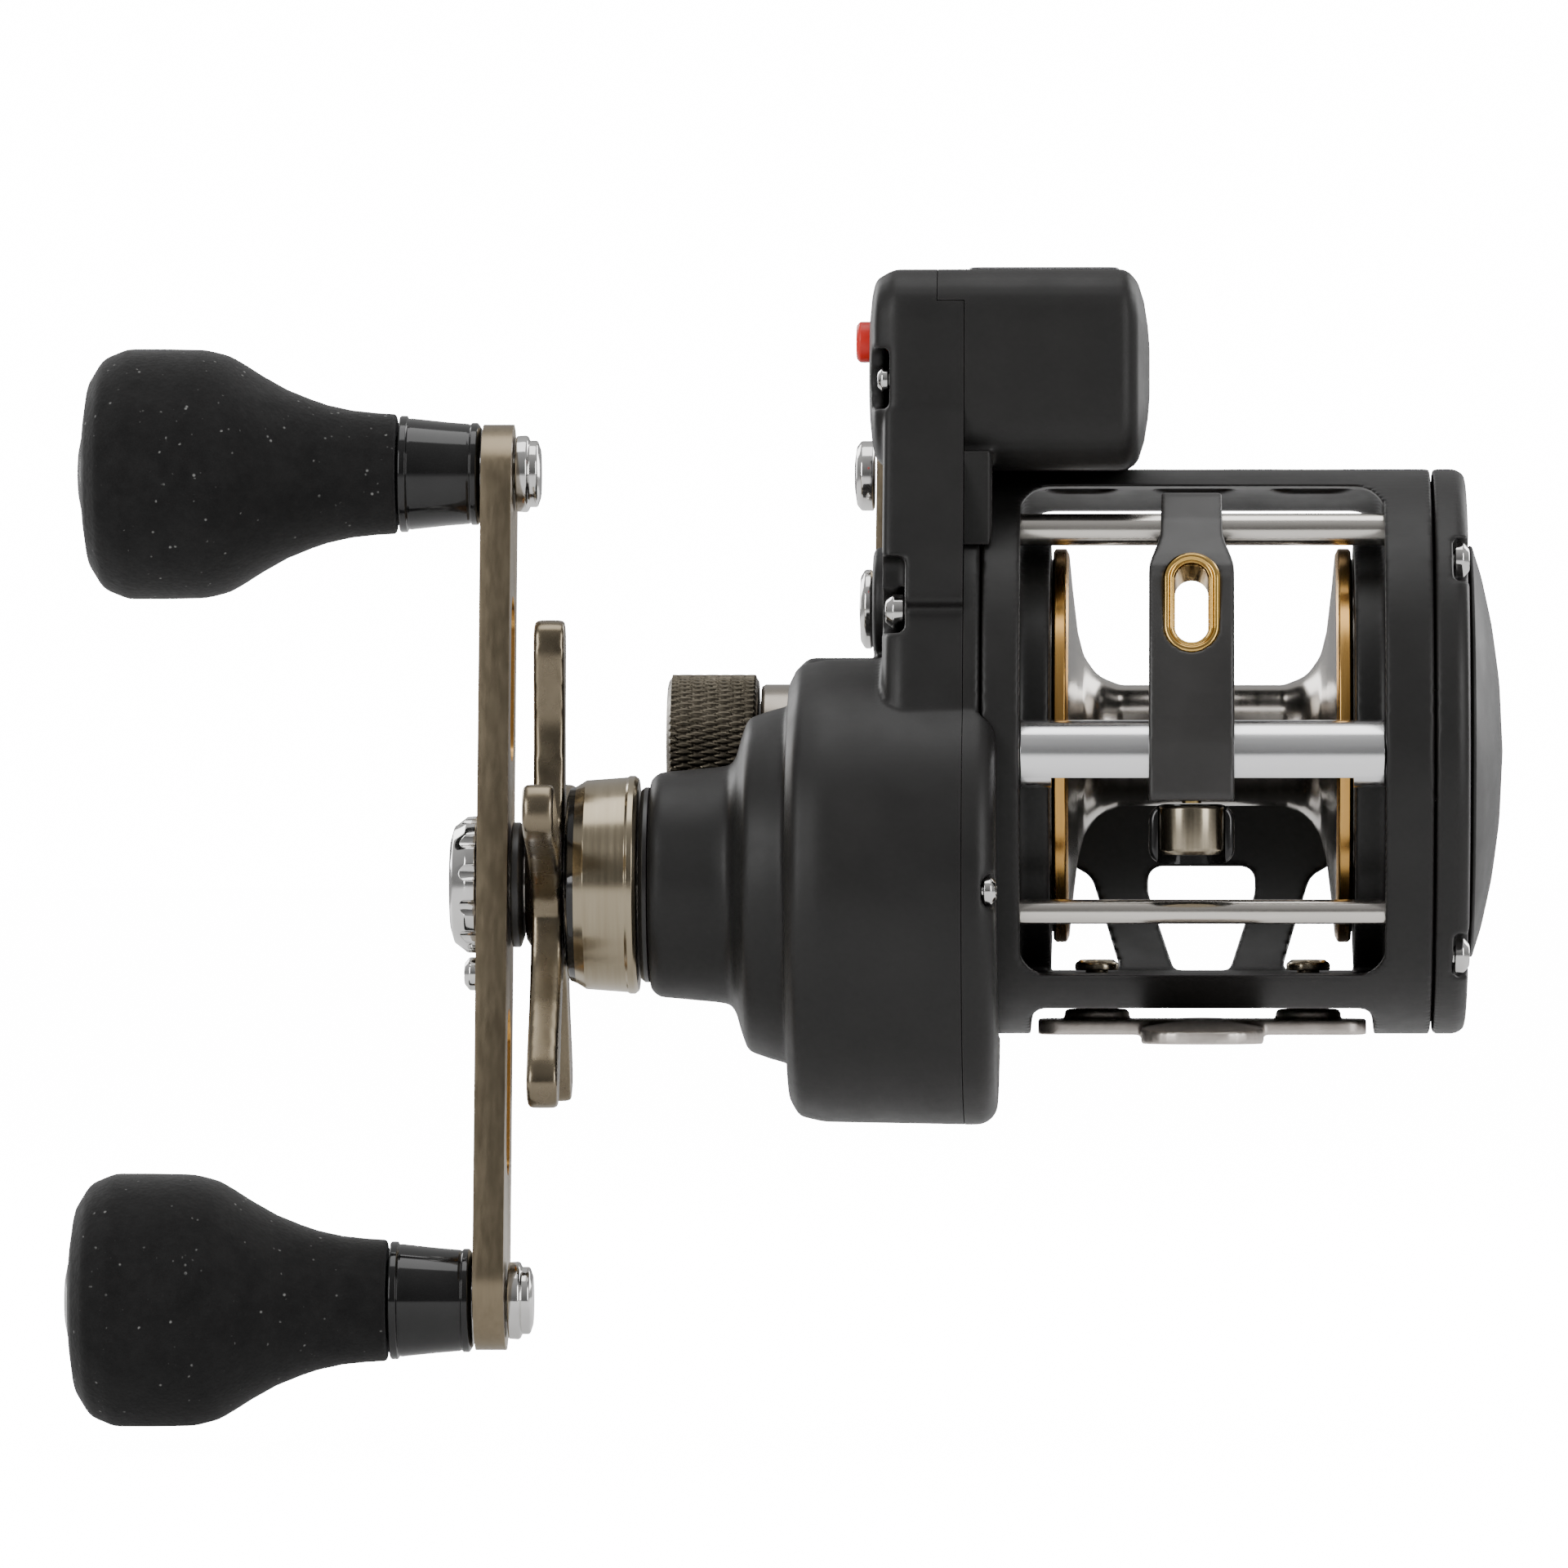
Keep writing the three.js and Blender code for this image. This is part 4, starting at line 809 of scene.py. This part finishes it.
def side_ring(side, outer):
    """A side of the frame: its round rim, its web and the lip that shrouds the spool's flange."""
    lip, web = 19.9, WINDOW + 1.8
    rim, step = RING_R - WALL, RING_R - 0.7
    line = [
        (lip, 26.5), (web, 26.5), (web, rim), (outer, rim), (outer, RING_R), (WINDOW - 0.4, RING_R),
        (WINDOW - 0.4, step), (WINDOW, step), (WINDOW, 28.4), (lip, 28.4),
    ]
    return revolve("ring", [(side * x, r) for x, r in line], RING, 0, CIRCLE, closed=True)


def frame_casting():
    """The one-piece frame: a tube with its windows, the floor plate, the slanted legs and the side rings."""
    w = WINDOW
    inner = RING_R - WALL
    tube = [(-w - 0.4, inner), (w + 0.4, inner), (w + 0.4, RING_R), (-w - 0.4, RING_R)]
    body = revolve("frame", tube, RING, 0, CIRCLE, closed=True)
    web = extrude("web", rectangle(-w, w, FLOOR_TOP, 22.9, 1.5), 0.1, 60, "y")
    flare = [
        (-17.5, 24), (-17.2, 22.6, 1.0), (-14.9, 21.4, 2.6), (-13.4, 16.8, 5.0), (-9.7, 5), (9.5, 5),
        (13.1, 16.8, 5.0), (14.6, 21.4, 2.6), (16.9, 22.6, 1.0), (17.2, 24),
    ]
    gap = [(-7.2, 22.7, 2.4), (-7.2, 19.1, 1.6), (-2.4, 5), (2.4, 5), (7.1, 19.1, 1.6), (7.1, 22.7, 2.4)]
    band = extrude("legs", fillet(flare, closed=True), 0, 60, "y")
    cut(band, extrude("gap", fillet(gap, closed=True), -1, 61, "y"))
    cut(web, band)
    cut(
        body,
        extrude("front", rectangle(-w, w, FLOOR_TOP, 72.8, 4), -60, -0.05, "y"),
        extrude("rear", rectangle(-w, w, 32.2, 70.2, 4), 0.05, 60, "y"),
        extrude("under", rectangle(-22.6, 22.6, -10, FLOOR_LOW, 2), -60, 60, "y"),
        web,
    )
    plate = block(-w - 0.4, w + 0.4, -22, 22, FLOOR_LOW, FLOOR_TOP)
    overlap(plate, rod(-w - 1, w + 1, RING_R, RING, segments=CIRCLE))
    join(body, plate, side_ring(-1, 28.6), side_ring(1, 30.0))
    tools = []
    for x, length in ((-16, 9), (-1, 10), (14.5, 10)):
        slot = rectangle(x - length / 2, x + length / 2, -1, 5.5, 2.6)
        tools.append(extrude("slot", slot, 65, 80, "z"))
    for x in FOOT_SCREWS:
        tools.append(rod(0, 12, 2.1, (x, 0), "z"))
    for side in (-1, 1):
        low, high = sorted((side * (w - 1), side * (w + 1.2)))
        tools += [rod(low, high, 2.35, UPPER_ROD), rod(low, high, 1.85, LOWER_ROD)]
    tools += [rod(-w - 6, -w + 1, 3.4, WORM), rod(-w, w, 4.7, WORM)]
    cut(body, *tools)
    finish_piece(cast(body, 0.42, 4), "frame", BLACK_PAINT, sharp=180)


def bridge_casting():
    """The plate right of the seam, with the drum's right end."""
    lip = -26.7
    x0 = SEAM - 1.5
    plate = rod(x0, -28.9, RING_R, RING, segments=CIRCLE)
    edge = [(x0, 0), (x0, DRUM_R), (lip, DRUM_R, 3.2), (lip, 0)]
    drum = revolve("drum", edge, DRUM, 0, CIRCLE)
    cut(drum, rod(-28.9, -20, RING_R + 0.3, RING, segments=CIRCLE))
    join(plate, drum, rod(-33.2, -29, 7.2, DRIVE))
    cut(
        plate, rod(-33, -20, 5.3, SPOOL), rod(-34, -29.6, 4.35, DRIVE), rod(-28.4, -25, 2.15, BRIDGE_SCREW),
        rod(-33, -20, 3.4, WORM), rod(-29.4, -20, 1.2, BRIDGE_SCREW, segments=24),
    )
    cut(cast(plate, 0.38, 3), cut(block(-40, SEAM + SEAM_HALF, -60, 60, -20, 90), rod(-34, -30, 7.3, DRIVE)))
    finish_piece(plate, "bridge_plate", BLACK_PAINT, sharp=50)


def pod_shape():
    """The counter's rounded box: one outline, drawn in towards both of its bulging ends."""
    half_y = (COUNTER["y1"] - COUNTER["y0"]) / 2
    half_z = (COUNTER["z1"] - COUNTER["z0"]) / 2
    y_mid, z_mid = COUNTER["y0"] + half_y, COUNTER["z0"] + half_z
    left, right = COUNTER["left"], COUNTER["right"]
    ends = [
        (left, 10.0), (left + 0.15, 6.5), (left + 0.5, 3.4), (left + 1.0, 1.3, 1.6), (left + 3.4, 0.0, 2.6),
        (right - 2.9, 0.0, 2.2), (right - 1.5, 1.7, 1.6), (right - 0.7, 4.2), (right - 0.2, 7.4),
        (right, 10.0),
    ]
    outline = rectangle(-half_y, half_y, -half_z, half_z, 6.5)
    points, rings = [], []
    for x, inset in fillet(ends):
        scale_y, scale_z = 1 - inset / half_y, 1 - inset / half_z
        rings.append(range(len(points), len(points) + len(outline)))
        points += [(x, y_mid + u * scale_y, z_mid + v * scale_z) for u, v in outline]
    return new_object("pod", points, [*skin(rings), rings[0], rings[-1]])


def left_of_seam(grow, bottom=60):
    """Everything left of the stepped seam in the counter, above a level."""
    side = block(-60, SEAM - grow, -60, 60, bottom, 120)
    return cut(side, block(STEP_X - grow, 0, -60, 60, STEP_Z - grow, 120))


def hollow_pod(x0, x1, wall=2.0):
    y0, y1, z0, z1 = (COUNTER[key] for key in ("y0", "y1", "z0", "z1"))
    return extrude("hollow", rectangle(y0 + wall, y1 - wall, z0 + wall, z1 - wall, 7 - wall), x0, x1, "x")


CASE_SCREWS = {  # outer face of the case, head radius, pocket floor, pocket reach above and below
    "counter_screw": (-42.5, 1.6, -40.8, 4.1, 3.8),
    "case_screw": (-41.3, 2.3, -38.6, 7.1, 2.8),
}


def screw_pocket(node, radius, floor, above, below):
    """Tools for a screw's hole, its counterbore and the notch that opens it to the front."""
    y, z = middle_yz(node)
    notch = extrude("notch", rectangle(y - 14, y + 1, z - below, z + above, 1.7), -50, floor, "x")
    return [rod(-50, floor, radius + 0.6, (y, z)), notch, rod(-50, -30, 1.2, (y, z), segments=24)]


def gear_case_casting():
    """The left side in one moulding: drum, stepped neck, spool lobe, and the counter's left end."""
    x1 = SEAM + 1.5
    left, plate = -54.0, -41.6
    drum_line = [
        (x1, 0), (x1, DRUM_R), (left + 4.5, DRUM_R - 0.35, 8.0), (left + 1.3, DRUM_R - 1.1, 1.6),
        (left, DRUM_R - 3.4, 1.6), (left, 0),
    ]
    step_line = [
        (left + 1, 0), (left + 1, STEP_R + 0.9), (left, STEP_R + 0.7, 0.6), (-56.5, STEP_R, 3.0),
        (-59.4, STEP_R - 1.0, 1.6), (-60.3, STEP_R - 3.6, 1.4), (-60.9, 17.0, 2.0), (-61.6, 15.7, 1.0),
        (-63.5, 15.4, 2.0), (-71.2, 14.7, 2.0), (-72.2, 13.6, 0.8), (-72.2, 0),
    ]
    lobe_line = [(x1, 0), (x1, LOBE_R), (left + 2, LOBE_R, 2.0), (left, LOBE_R - 2, 1.0), (left, 0)]
    side_line = [
        (x1, 0), (x1, RING_R), (plate + 2.4, RING_R, 2.0), (plate + 0.6, RING_R - 1.0, 1.6),
        (plate, RING_R - 3.2, 1.4), (plate, 0),
    ]
    body = revolve("case", drum_line, DRUM, 0, CIRCLE)
    step = revolve("step", step_line, DRIVE, 0, CIRCLE)
    lobe = revolve("lobe", lobe_line, SPOOL, 0, CIRCLE)
    side = revolve("side", side_line, RING, 0, CIRCLE)
    neck_shape = fillet([(-34.5, 56.6), (-23.6, 84), (7.6, 84), (10, 66)], 1.0, True)
    neck = bevel(extrude("neck", neck_shape, plate, x1, "x"), 1.4, 3)
    pad_line = [(-40, 0), (-40, 7.5), (-43.4, 7.5, 0.8), (-43.6, 6.0), (-43.6, 0)]
    pad = revolve("pad", pad_line, PAD, 0, 80)
    join(body, step, lobe, side, neck, pad, overlap(pod_shape(), left_of_seam(-1.5)))
    pod_space = hollow_pod(COUNTER["left"] + 2.2, x1 + 5)
    overlap(pod_space, join(left_of_seam(SEAM_HALF), block(-40, -25, -30, 20, 76, 95.2)))
    tools = [
        rod(left + 2.2, x1 + 1, DRUM_R - 2.2, DRUM, segments=CIRCLE),
        rod(left + 2.2, x1 + 1, LOBE_R - 2.2, SPOOL),
        rod(plate + 2.2, x1 + 1, RING_R - 2.5, RING, segments=CIRCLE),
        pod_space, rod(-75, left + 3, 8.3, DRIVE), rod(-75, left, 10.2, SPOOL),
        rod(left - 2, left + 3, 4.7, SPOOL), rod(-50, -39, 3.0, RESET),
    ]
    for node, (_, radius, floor, above, below) in CASE_SCREWS.items():
        tools += screw_pocket(node, radius, floor, above, below)
    cut(body, *tools)
    kept = join(left_of_seam(SEAM_HALF, 40), block(-90, SEAM - SEAM_HALF, -60, 60, -60, 50))
    overlap(cast(body, 0.4, 5), kept)
    finish_piece(body, "gear_case", BLACK_PAINT, sharp=50)


def counter_casting():
    """The counter right of the seam: a shell with a window under the lens and a spigot at the seam."""
    shell = cut(pod_shape(), left_of_seam(1.5))
    stepped = overlap(left_of_seam(-1.0), block(-60, -30, -60, 60, 94.8, 120))
    cut(shell, cut(hollow_pod(-45, COUNTER["right"] - 3.6, 2.4), stepped))
    join(shell, block(SEAM - 1.5, -27.4, -26.6, -20.6, 64.4, 77.2))
    (x0, _), (y0, y1), (z0, _) = (span("counter_lens", k) for k in range(3))
    x1, gap = LENS_END, 0.08
    join(shell, extrude("deck", rectangle(x0 - 1.2, x1 + 0.6, y0 - 1.2, y1 + 1.2, 2.4), 98.8, z0, "z"))
    cut(
        shell, rod(-40, 0, RING_R + 0.3, RING, segments=CIRCLE),
        extrude("window", rectangle(-28.8, -10.4, -14.4, -1.6, 1.0), 95, 110, "z"),
        rod(-12, -7.6, 1.5, WHEEL_AXIS, segments=24),
    )
    seat = rectangle(x0 - gap, x1 + gap, y0 - gap, y1 + gap, 2.05)
    cut(cast(shell, 0.38, 4), left_of_seam(-SEAM_HALF, 40), extrude("seat", seat, z0 - 0.15, 110, "z"))
    spigot = hollow_pod(-33.4, -29.4, 2.3)
    cut(spigot, hollow_pod(-35, -28, 3.4), block(-40, -20, -40, 40, 94.4, 120))
    finish_piece(join(shell, spigot), "counter_housing", BLACK_COMPOSITE, sharp=50)


frame_casting()
bridge_casting()
gear_case_casting()
counter_casting()
for node, (face, radius, floor, _, _) in CASE_SCREWS.items():
    domed_screw(node, floor - 0.2, face, radius, middle_yz(node), face + 7, 1.15)
domed_screw("bridge_screw", -28.1, -26.4, 1.8, BRIDGE_SCREW, -29.2, 0.9)


# ---- counter: lens, wheels with numerals, reset button -------------------------------
WHEEL_R, NUMERAL_HEIGHT, NUMERAL_DEPTH = 9.5, 5.2, 0.06


def counter_lens():
    (x0, _), (y0, y1), (z0, z1) = (span("counter_lens", k) for k in range(3))
    lens = extrude("lens", rectangle(x0, LENS_END, y0, y1, 2.0), z0, z1, "z")
    finish_piece(bevel(lens, 0.45, 4), "counter_lens", LENS)


def numeral(digit, x):
    """A numeral, bent round a counter wheel."""
    text = bpy.data.curves.new("numeral", "FONT")
    text.body = str(digit)
    text.align_x, text.align_y = "CENTER", "CENTER"
    text.size, text.extrude = NUMERAL_HEIGHT, NUMERAL_DEPTH
    text.resolution_u = 4
    holder = linked("numeral", text)
    graph = bpy.context.evaluated_depsgraph_get()
    mesh = bpy.data.meshes.new_from_object(holder.evaluated_get(graph))
    bpy.data.objects.remove(holder)
    bpy.data.curves.remove(text)
    middle_angle = math.pi / 2 + 2 * math.pi * digit / 10
    for vertex in mesh.vertices:
        u, v, lift = vertex.co
        angle = middle_angle + v / WHEEL_R
        y = WHEEL_AXIS[0] - (WHEEL_R + lift) * math.cos(angle)
        z = WHEEL_AXIS[1] + (WHEEL_R + lift) * math.sin(angle)
        vertex.co = Vector((x + u, y, z)) * MM
    return bpy.data.objects.new("numeral", mesh)


def is_numeral(centre, normal):
    return math.hypot(centre.y - WHEEL_AXIS[0], centre.z - WHEEL_AXIS[1]) > WHEEL_R + 0.003


def counter_wheels():
    r, rim = WHEEL_R, WHEEL_R - 0.3
    for name in ("hundreds", "tens", "ones"):
        node = f"counter_wheel_{name}"
        x0, x1 = span(node, 0)
        line = [(x0, 1.5), (x1, 1.5), (x1, rim, 0.2), (x1 - 0.3, r, 0.1), (x0 + 0.3, r, 0.1), (x0, rim, 0.2)]
        wheel = revolve("wheel", line, WHEEL_AXIS, 0.05, 100, closed=True)
        merge(wheel, *[numeral(digit, (x0 + x1) / 2) for digit in range(10)])
        finish_piece(wheel, node, DIAL, [(NUMERAL, is_numeral)], sharp=25)


def reset_button():
    line = [
        (-41.2, 0), (-41.2, 1.4), (-42.2, 1.4), (-42.2, 2.7, 0.1), (-44.9, 2.7, 0.5), (-45.4, 2.1, 0.6),
        (-45.25, 1.2, 1.0), (-45.2, 0),
    ]
    turned_piece("reset_button", RED, line, RESET, 0.1, 64)


counter_lens()
counter_wheels()
reset_button()


# ---- spool, shaft, rods and level-wind tube ------------------------------------------
def spool():
    """One turned body. Its right half, from the arbor out over the rim to the bore, is mirrored."""
    half = [
        (10.8, 8.0, 3.0), (13.8, 9.2, 4.0), (15.6, 11.8, 4.0), (16.4, 15.0, 6.0), (17.1, 21.0, 6.0),
        (17.5, 25.2, 0.3), (17.9, 26.0, 0.35), (19.3, 26.0, 0.35), (19.6, 25.6, 0.1), (19.6, 24.6, 0.1),
        (21.0, 24.6, 0.2), (21.0, 22.4, 0.2), (18.5, 21, 0.5), (18.3, 3.1),
    ]
    line = [(-x, *rest) for x, *rest in reversed(half)] + half

    def on_rim(centre, normal):
        out = math.hypot(centre.y - SPOOL[0], centre.z - SPOOL[1])
        return 17.45 < abs(centre.x) < 19.62 and out > 24.65

    gold = [(GOLD_ANODISED, on_rim)]
    turned_piece("spool", GUNMETAL, line, SPOOL, 0.05, CIRCLE, closed=True, accents=gold, sharp=40)


def rods():
    for node, axis, r in (("upper_guide_rod", UPPER_ROD, 2.1), ("lower_guard_rod", LOWER_ROD, 1.6)):
        x0, x1 = span(node, 0)
        line = [(x0, 0), (x0, r, 0.3), (x1, r, 0.3), (x1, 0)]
        turned_piece(node, STEEL, line, axis, 0, 64)


def levelwind_tube():
    """A tube with a long slot in its underside."""
    x0, x1 = span("levelwind_tube", 0)
    bore, r, slot_half, slot_top = 3.5, 4.4, 19.6, WORM[1] - 3.1
    line = [(x0, bore), (x0, r, 0.25), (x1, r, 0.25), (x1, bore)]
    tube = revolve("tube", line, WORM, 0.05, 96, closed=True)
    cut(tube, extrude("slot", rectangle(-slot_half, slot_half, -45, -20, 1.6), 28, slot_top, "z"))
    finish_piece(bevel(tube, 0.12, 2, 45), "levelwind_tube", ALUMINIUM)


def spool_shaft():
    line = [
        (-68.2, 0), (-68.2, 1.75, 0.3), (-31.5, 1.75), (-31.0, 2.3), (-19.3, 2.8), (19.3, 2.8), (26, 2.3),
        (33, 1.75, 0.3), (33, 0),
    ]
    turned_piece("spool_shaft", STEEL, line, SPOOL, 0.1, 64)


spool()
rods()
levelwind_tube()
spool_shaft()


# ---- tail side -----------------------------------------------------------------------
def tail_side():
    screws = ("tail_screw_top", "tail_screw_bottom")
    line = [
        (34.7, 0), (34.7, 35.2, 0.5), (34.5, 36.6, 0.9), (33.3, RING_R, 1.4), (30.3, RING_R, 0.35),
        (30.3, 34.8), (32.2, 34.8), (32.2, 0),
    ]
    plate = revolve("tail", line, RING, 0.05, CIRCLE)
    join(plate, rod(28.6, 33, 7.4, SPOOL))
    tools = [rod(28, 31.4, 5.3, SPOOL), rod(28, 36, 2.4, SPOOL)]
    for node in screws:
        y, z = middle_yz(node)
        tools += [
            rod(32.6, 36, 2.9, (y, z)), block(32.6, 36, -45, y, z - 2.9, z + 2.9),
            rod(30, 33, 1.5, (y, z), segments=24),
        ]
    slot_y, slot_z = middle("clicker_button", 1), RING[1]
    slot = rectangle(slot_y - 1.4, slot_y + 1.4, slot_z - 5.8, slot_z + 5.8, 0.6)
    tools.append(extrude("slot", slot, 30, 36, "x"))
    cut(plate, *tools)
    finish_piece(cast(plate, 0.4, 3), "tail_plate", BLACK_PAINT, sharp=180)
    for node in screws:
        domed_screw(node, 32.9, 34.9, 2.35, middle_yz(node), 30.6, 1.2)


def tail_cover():
    line = [
        (38.4, 0), (37.5, 12, 10.0), (35.0, 25.6), (35.0, 26.9, 0.2), (35.25, 27.2, 0.2), (35.6, 27.1, 0.5),
        (36.8, 23.3, 20.0), (38.2, 16.9, 30.0), (39.2, 9.6, 30.0), (39.7, 0),
    ]
    turned_piece("tail_cover", BLACK_PAINT, line, RING, 0.1, CIRCLE, sharp=50)


def clicker():
    y, z = middle_yz("clicker_button")
    stem = block(30.6, 35.6, y - 1, y + 1, z - 1.6, z + 1.6)
    cap = bevel(extrude("cap", rectangle(y - 2.6, y + 2.6, z - 2.6, z + 2.6, 1.2), 35.2, 37.2, "x"), 0.5, 4)
    cut(cap, *[block(36.9, 38, y - 2.2, y + 2.2, z + k - 0.2, z + k + 0.2) for k in (-1, 0, 1)])
    finish_piece(join(cap, stem), "clicker_button", GLOSS_BLACK)


tail_side()
tail_cover()
clicker()


# ---- foot ----------------------------------------------------------------------------
def reel_foot():
    """A saddle: arched arms that taper along the rod, and wide lugs under the screws."""
    top, arch_r = 2.7, 40.0
    arm = extrude("arm", rectangle(-8, 8, -33, 33, 6), 0, top, "z")
    overlap(arm, extrude("arch", circle(0.0, top - arch_r, arch_r, 240), -40, 40, "y"))
    for side in (-1, 1):
        wedge = [(side * 12, top + 0.1), (side * 34, 1.6), (side * 34, 5.0), (side * 12, 5.0)]
        cut(arm, extrude("ramp", [Vector(p) for p in wedge], -10, 10, "x"))
    join(arm, extrude("plate", rectangle(-21.6, 21.6, -9.5, 9.5, 3), 0.8, top, "z"))
    spacer = [(1.2, 0), (1.2, 4.3), (3.6, 4.3), (4.1, 4.0), (4.1, 0)]
    for x in FOOT_SCREWS:
        join(arm, revolve("spacer", spacer, (x, 0), 0, 80, along="z"))
    cut(arm, *[rod(-1, 5, 1.8, (x, 0), "z") for x in FOOT_SCREWS])
    finish_piece(cast(arm, 0.3, 4), "reel_foot", STEEL_FOOT, sharp=180)


def foot_screws():
    line = [
        (1.1, 0), (1.1, 1.5), (9.2, 1.5), (9.2, 2.9, 0.15), (10.1, 2.9, 0.5), (10.6, 2.2, 0.3),
        (10.6, 1.3, 0.1), (8.4, 1.3), (8.4, 0),
    ]
    for side, x in zip(("left", "right"), FOOT_SCREWS):
        turned_piece(f"foot_screw_{side}", GUNMETAL_DARK, line, (x, 0), 0.05, 64, along="z")


reel_foot()
foot_screws()


# ---- line guide ----------------------------------------------------------------------
MOUTH_Y, MOUTH_Z = -33.6, 57.4  # centre of the eye's mouth
MOUTH_LEAN = math.radians(-20)
MOUTH_RISE = 3.25  # from that centre to the middle of each round end


def line_guide():
    side = [
        (-38.6, 31.6, 0.8), (-26.3, 31.6, 0.8), (-26.2, 43.6, 3.0), (-29.0, 46.0, 4.0), (-26.6, 55, 12.0),
        (-21.6, 63.4, 8.0), (-14.1, 65.6, 0.8), (-13.9, 70.4, 2.0), (-15.6, 71.9, 2.0), (-19.2, 71.9, 3.0),
        (-24.6, 68.2, 8.0), (-30.6, 62.4, 12.0), (-35.4, 53, 16.0), (-38.7, 42.5, 20.0),
    ]
    h = 5.55
    front = [
        (-h, 31.3), (h, 31.3), (h, 62.4, 5.0), (4.05, 66.0, 5.0), (3.9, 73), (-3.9, 73), (-4.05, 66.0, 5.0),
        (-h, 62.4, 5.0),
    ]
    body = extrude("guide", fillet(side, closed=True), -8, 8, "x")
    overlap(body, extrude("front", fillet(front, closed=True), -45, -5, "y"))
    eye = extrude("eye", stadium(0, MOUTH_Z, 3.6, 3.6 + MOUTH_RISE), -45, -5, "y")
    turn(eye, MOUTH_LEAN, (0, MOUTH_Y, MOUTH_Z))
    cut(body, rod(-9, 9, 4.75, WORM), rod(-9, 9, 2.5, UPPER_ROD), eye, rod(30, 36, 1.9, (0, WORM[0]), "z"))
    body.data.transform(Matrix.Translation((GUIDE_X * MM, 0, 0)))
    finish_piece(cast(body, 0.28, 6), "line_guide", SATIN_BLACK, sharp=180)


def guide_insert():
    """A polished ring swept round the slot, with a rolled lip at its mouth."""
    y0, y1 = MOUTH_Y, MOUTH_Y + 7.0
    lip = [
        (3.7, y0 + 1.0), (3.75, y0 + 0.3), (3.4, y0 - 0.1), (3.0, y0 - 0.15), (2.75, y0 + 0.2),
        (2.55, y0 + 0.25), (2.35, y0 + 0.05), (2.17, y0 + 0.4), (2.15, y0 + 1.0), (2.15, y1 - 0.4),
        (2.5, y1), (3.3, y1), (3.7, y1 - 0.4),
    ]
    line = fillet(lip, 0.25, closed=True)
    count = 96
    points, rings = [], []
    for k in range(count):
        a = 2 * math.pi * k / count
        z = MOUTH_Z + (MOUTH_RISE if k < count / 2 else -MOUTH_RISE)
        rings.append(range(len(points), len(points) + len(line)))
        points += [(GUIDE_X + r * math.cos(a), y, z + r * math.sin(a)) for r, y in line]
    ring = new_object("insert", points, skin(rings, closed=True))
    finish_piece(turn(ring, MOUTH_LEAN, (GUIDE_X, MOUTH_Y, MOUTH_Z)), "guide_insert", GOLD, sharp=50)


def pawl_parts():
    y0, y1 = span("pawl_housing", 1)
    body = extrude("housing", rectangle(GUIDE_X - 5.55, GUIDE_X + 5.55, 23.4, 31.2, 2.1), y0, y1, "y")
    centre = (GUIDE_X, middle("pawl_cap", 1))
    cut(bevel(body, 0.8, 4), rod(20, 40, 4.5, centre, "z"))
    finish_piece(body, "pawl_housing", GLOSS_BLACK)
    line = [(24.6, 0), (24.6, 3.5, 0.4), (25.2, 4.35, 0.5), (30.6, 4.35, 0.2), (31.0, 4.1, 0.1), (31.0, 0)]
    turned_piece("pawl_cap", GUNMETAL_DARK, line, centre, 0.1, 80, along="z")


line_guide()
guide_insert()
pawl_parts()


# ---- clutch --------------------------------------------------------------------------
def clutch():
    """The lever, its chrome thumb cap and the chrome cap of its pivot."""
    tip = middle_yz("clutch_button")
    reach = Vector((tip[0] - LEVER[0], tip[1] - LEVER[1]))
    outline = half_circle(0, 0, 4.2, math.pi / 2, 24) + half_circle(reach.length, 0, 3.6, -math.pi / 2, 24)
    lean = Matrix.Rotation(math.atan2(reach.y, reach.x), 2)
    strip = extrude("lever", [lean @ p + Vector(LEVER) for p in outline], -43.6, -42.0, "x")
    cut(strip, rod(-50, -40, 2.0, LEVER))
    finish_piece(bevel(strip, 0.3, 3), "clutch_lever", BRONZE)
    button = [
        (-43.9, 0), (-43.9, 4.3), (-44.1, 4.7, 0.2), (-45.7, 4.7, 0.6), (-46.3, 3.9, 0.7), (-46.6, 1.8, 1.5),
        (-46.6, 0),
    ]
    turned_piece("clutch_button", CHROME, button, tip, 0.1, 80)
    pivot = [
        (-41.9, 0), (-41.9, 1.7), (-43.9, 1.7), (-43.9, 5.0, 0.1), (-44.2, 5.3, 0.2), (-45.0, 5.3, 0.5),
        (-45.6, 4.3, 1.0), (-45.8, 0),
    ]
    screw = revolve("pivot", pivot, LEVER, 0.1, 80)
    cut(screw, *cross_recess(-46.4, -44.9, LEVER, 2.0, 0.6))
    finish_piece(bevel(screw, 0.06, 2), "lever_pivot_screw", CHROME)


clutch()


# ---- inner nodes keep their CAD shapes -----------------------------------------------
KEPT = {
    "spool_bearing_left": STEEL, "spool_bearing_right": STEEL, "clutch_yoke": STEEL, "main_gear": BRASS,
    "levelwind_drive_gear": DIAL, "pinion": BRASS, "worm_shaft": STEEL, "drag_washer": CARBON,
    "drive_shaft": STEEL, "one_way_bearing": STEEL, "pawl": BRASS,
}
for node, material in KEPT.items():
    for holder in frame["nodes"][node].material_slots:
        holder.material = material
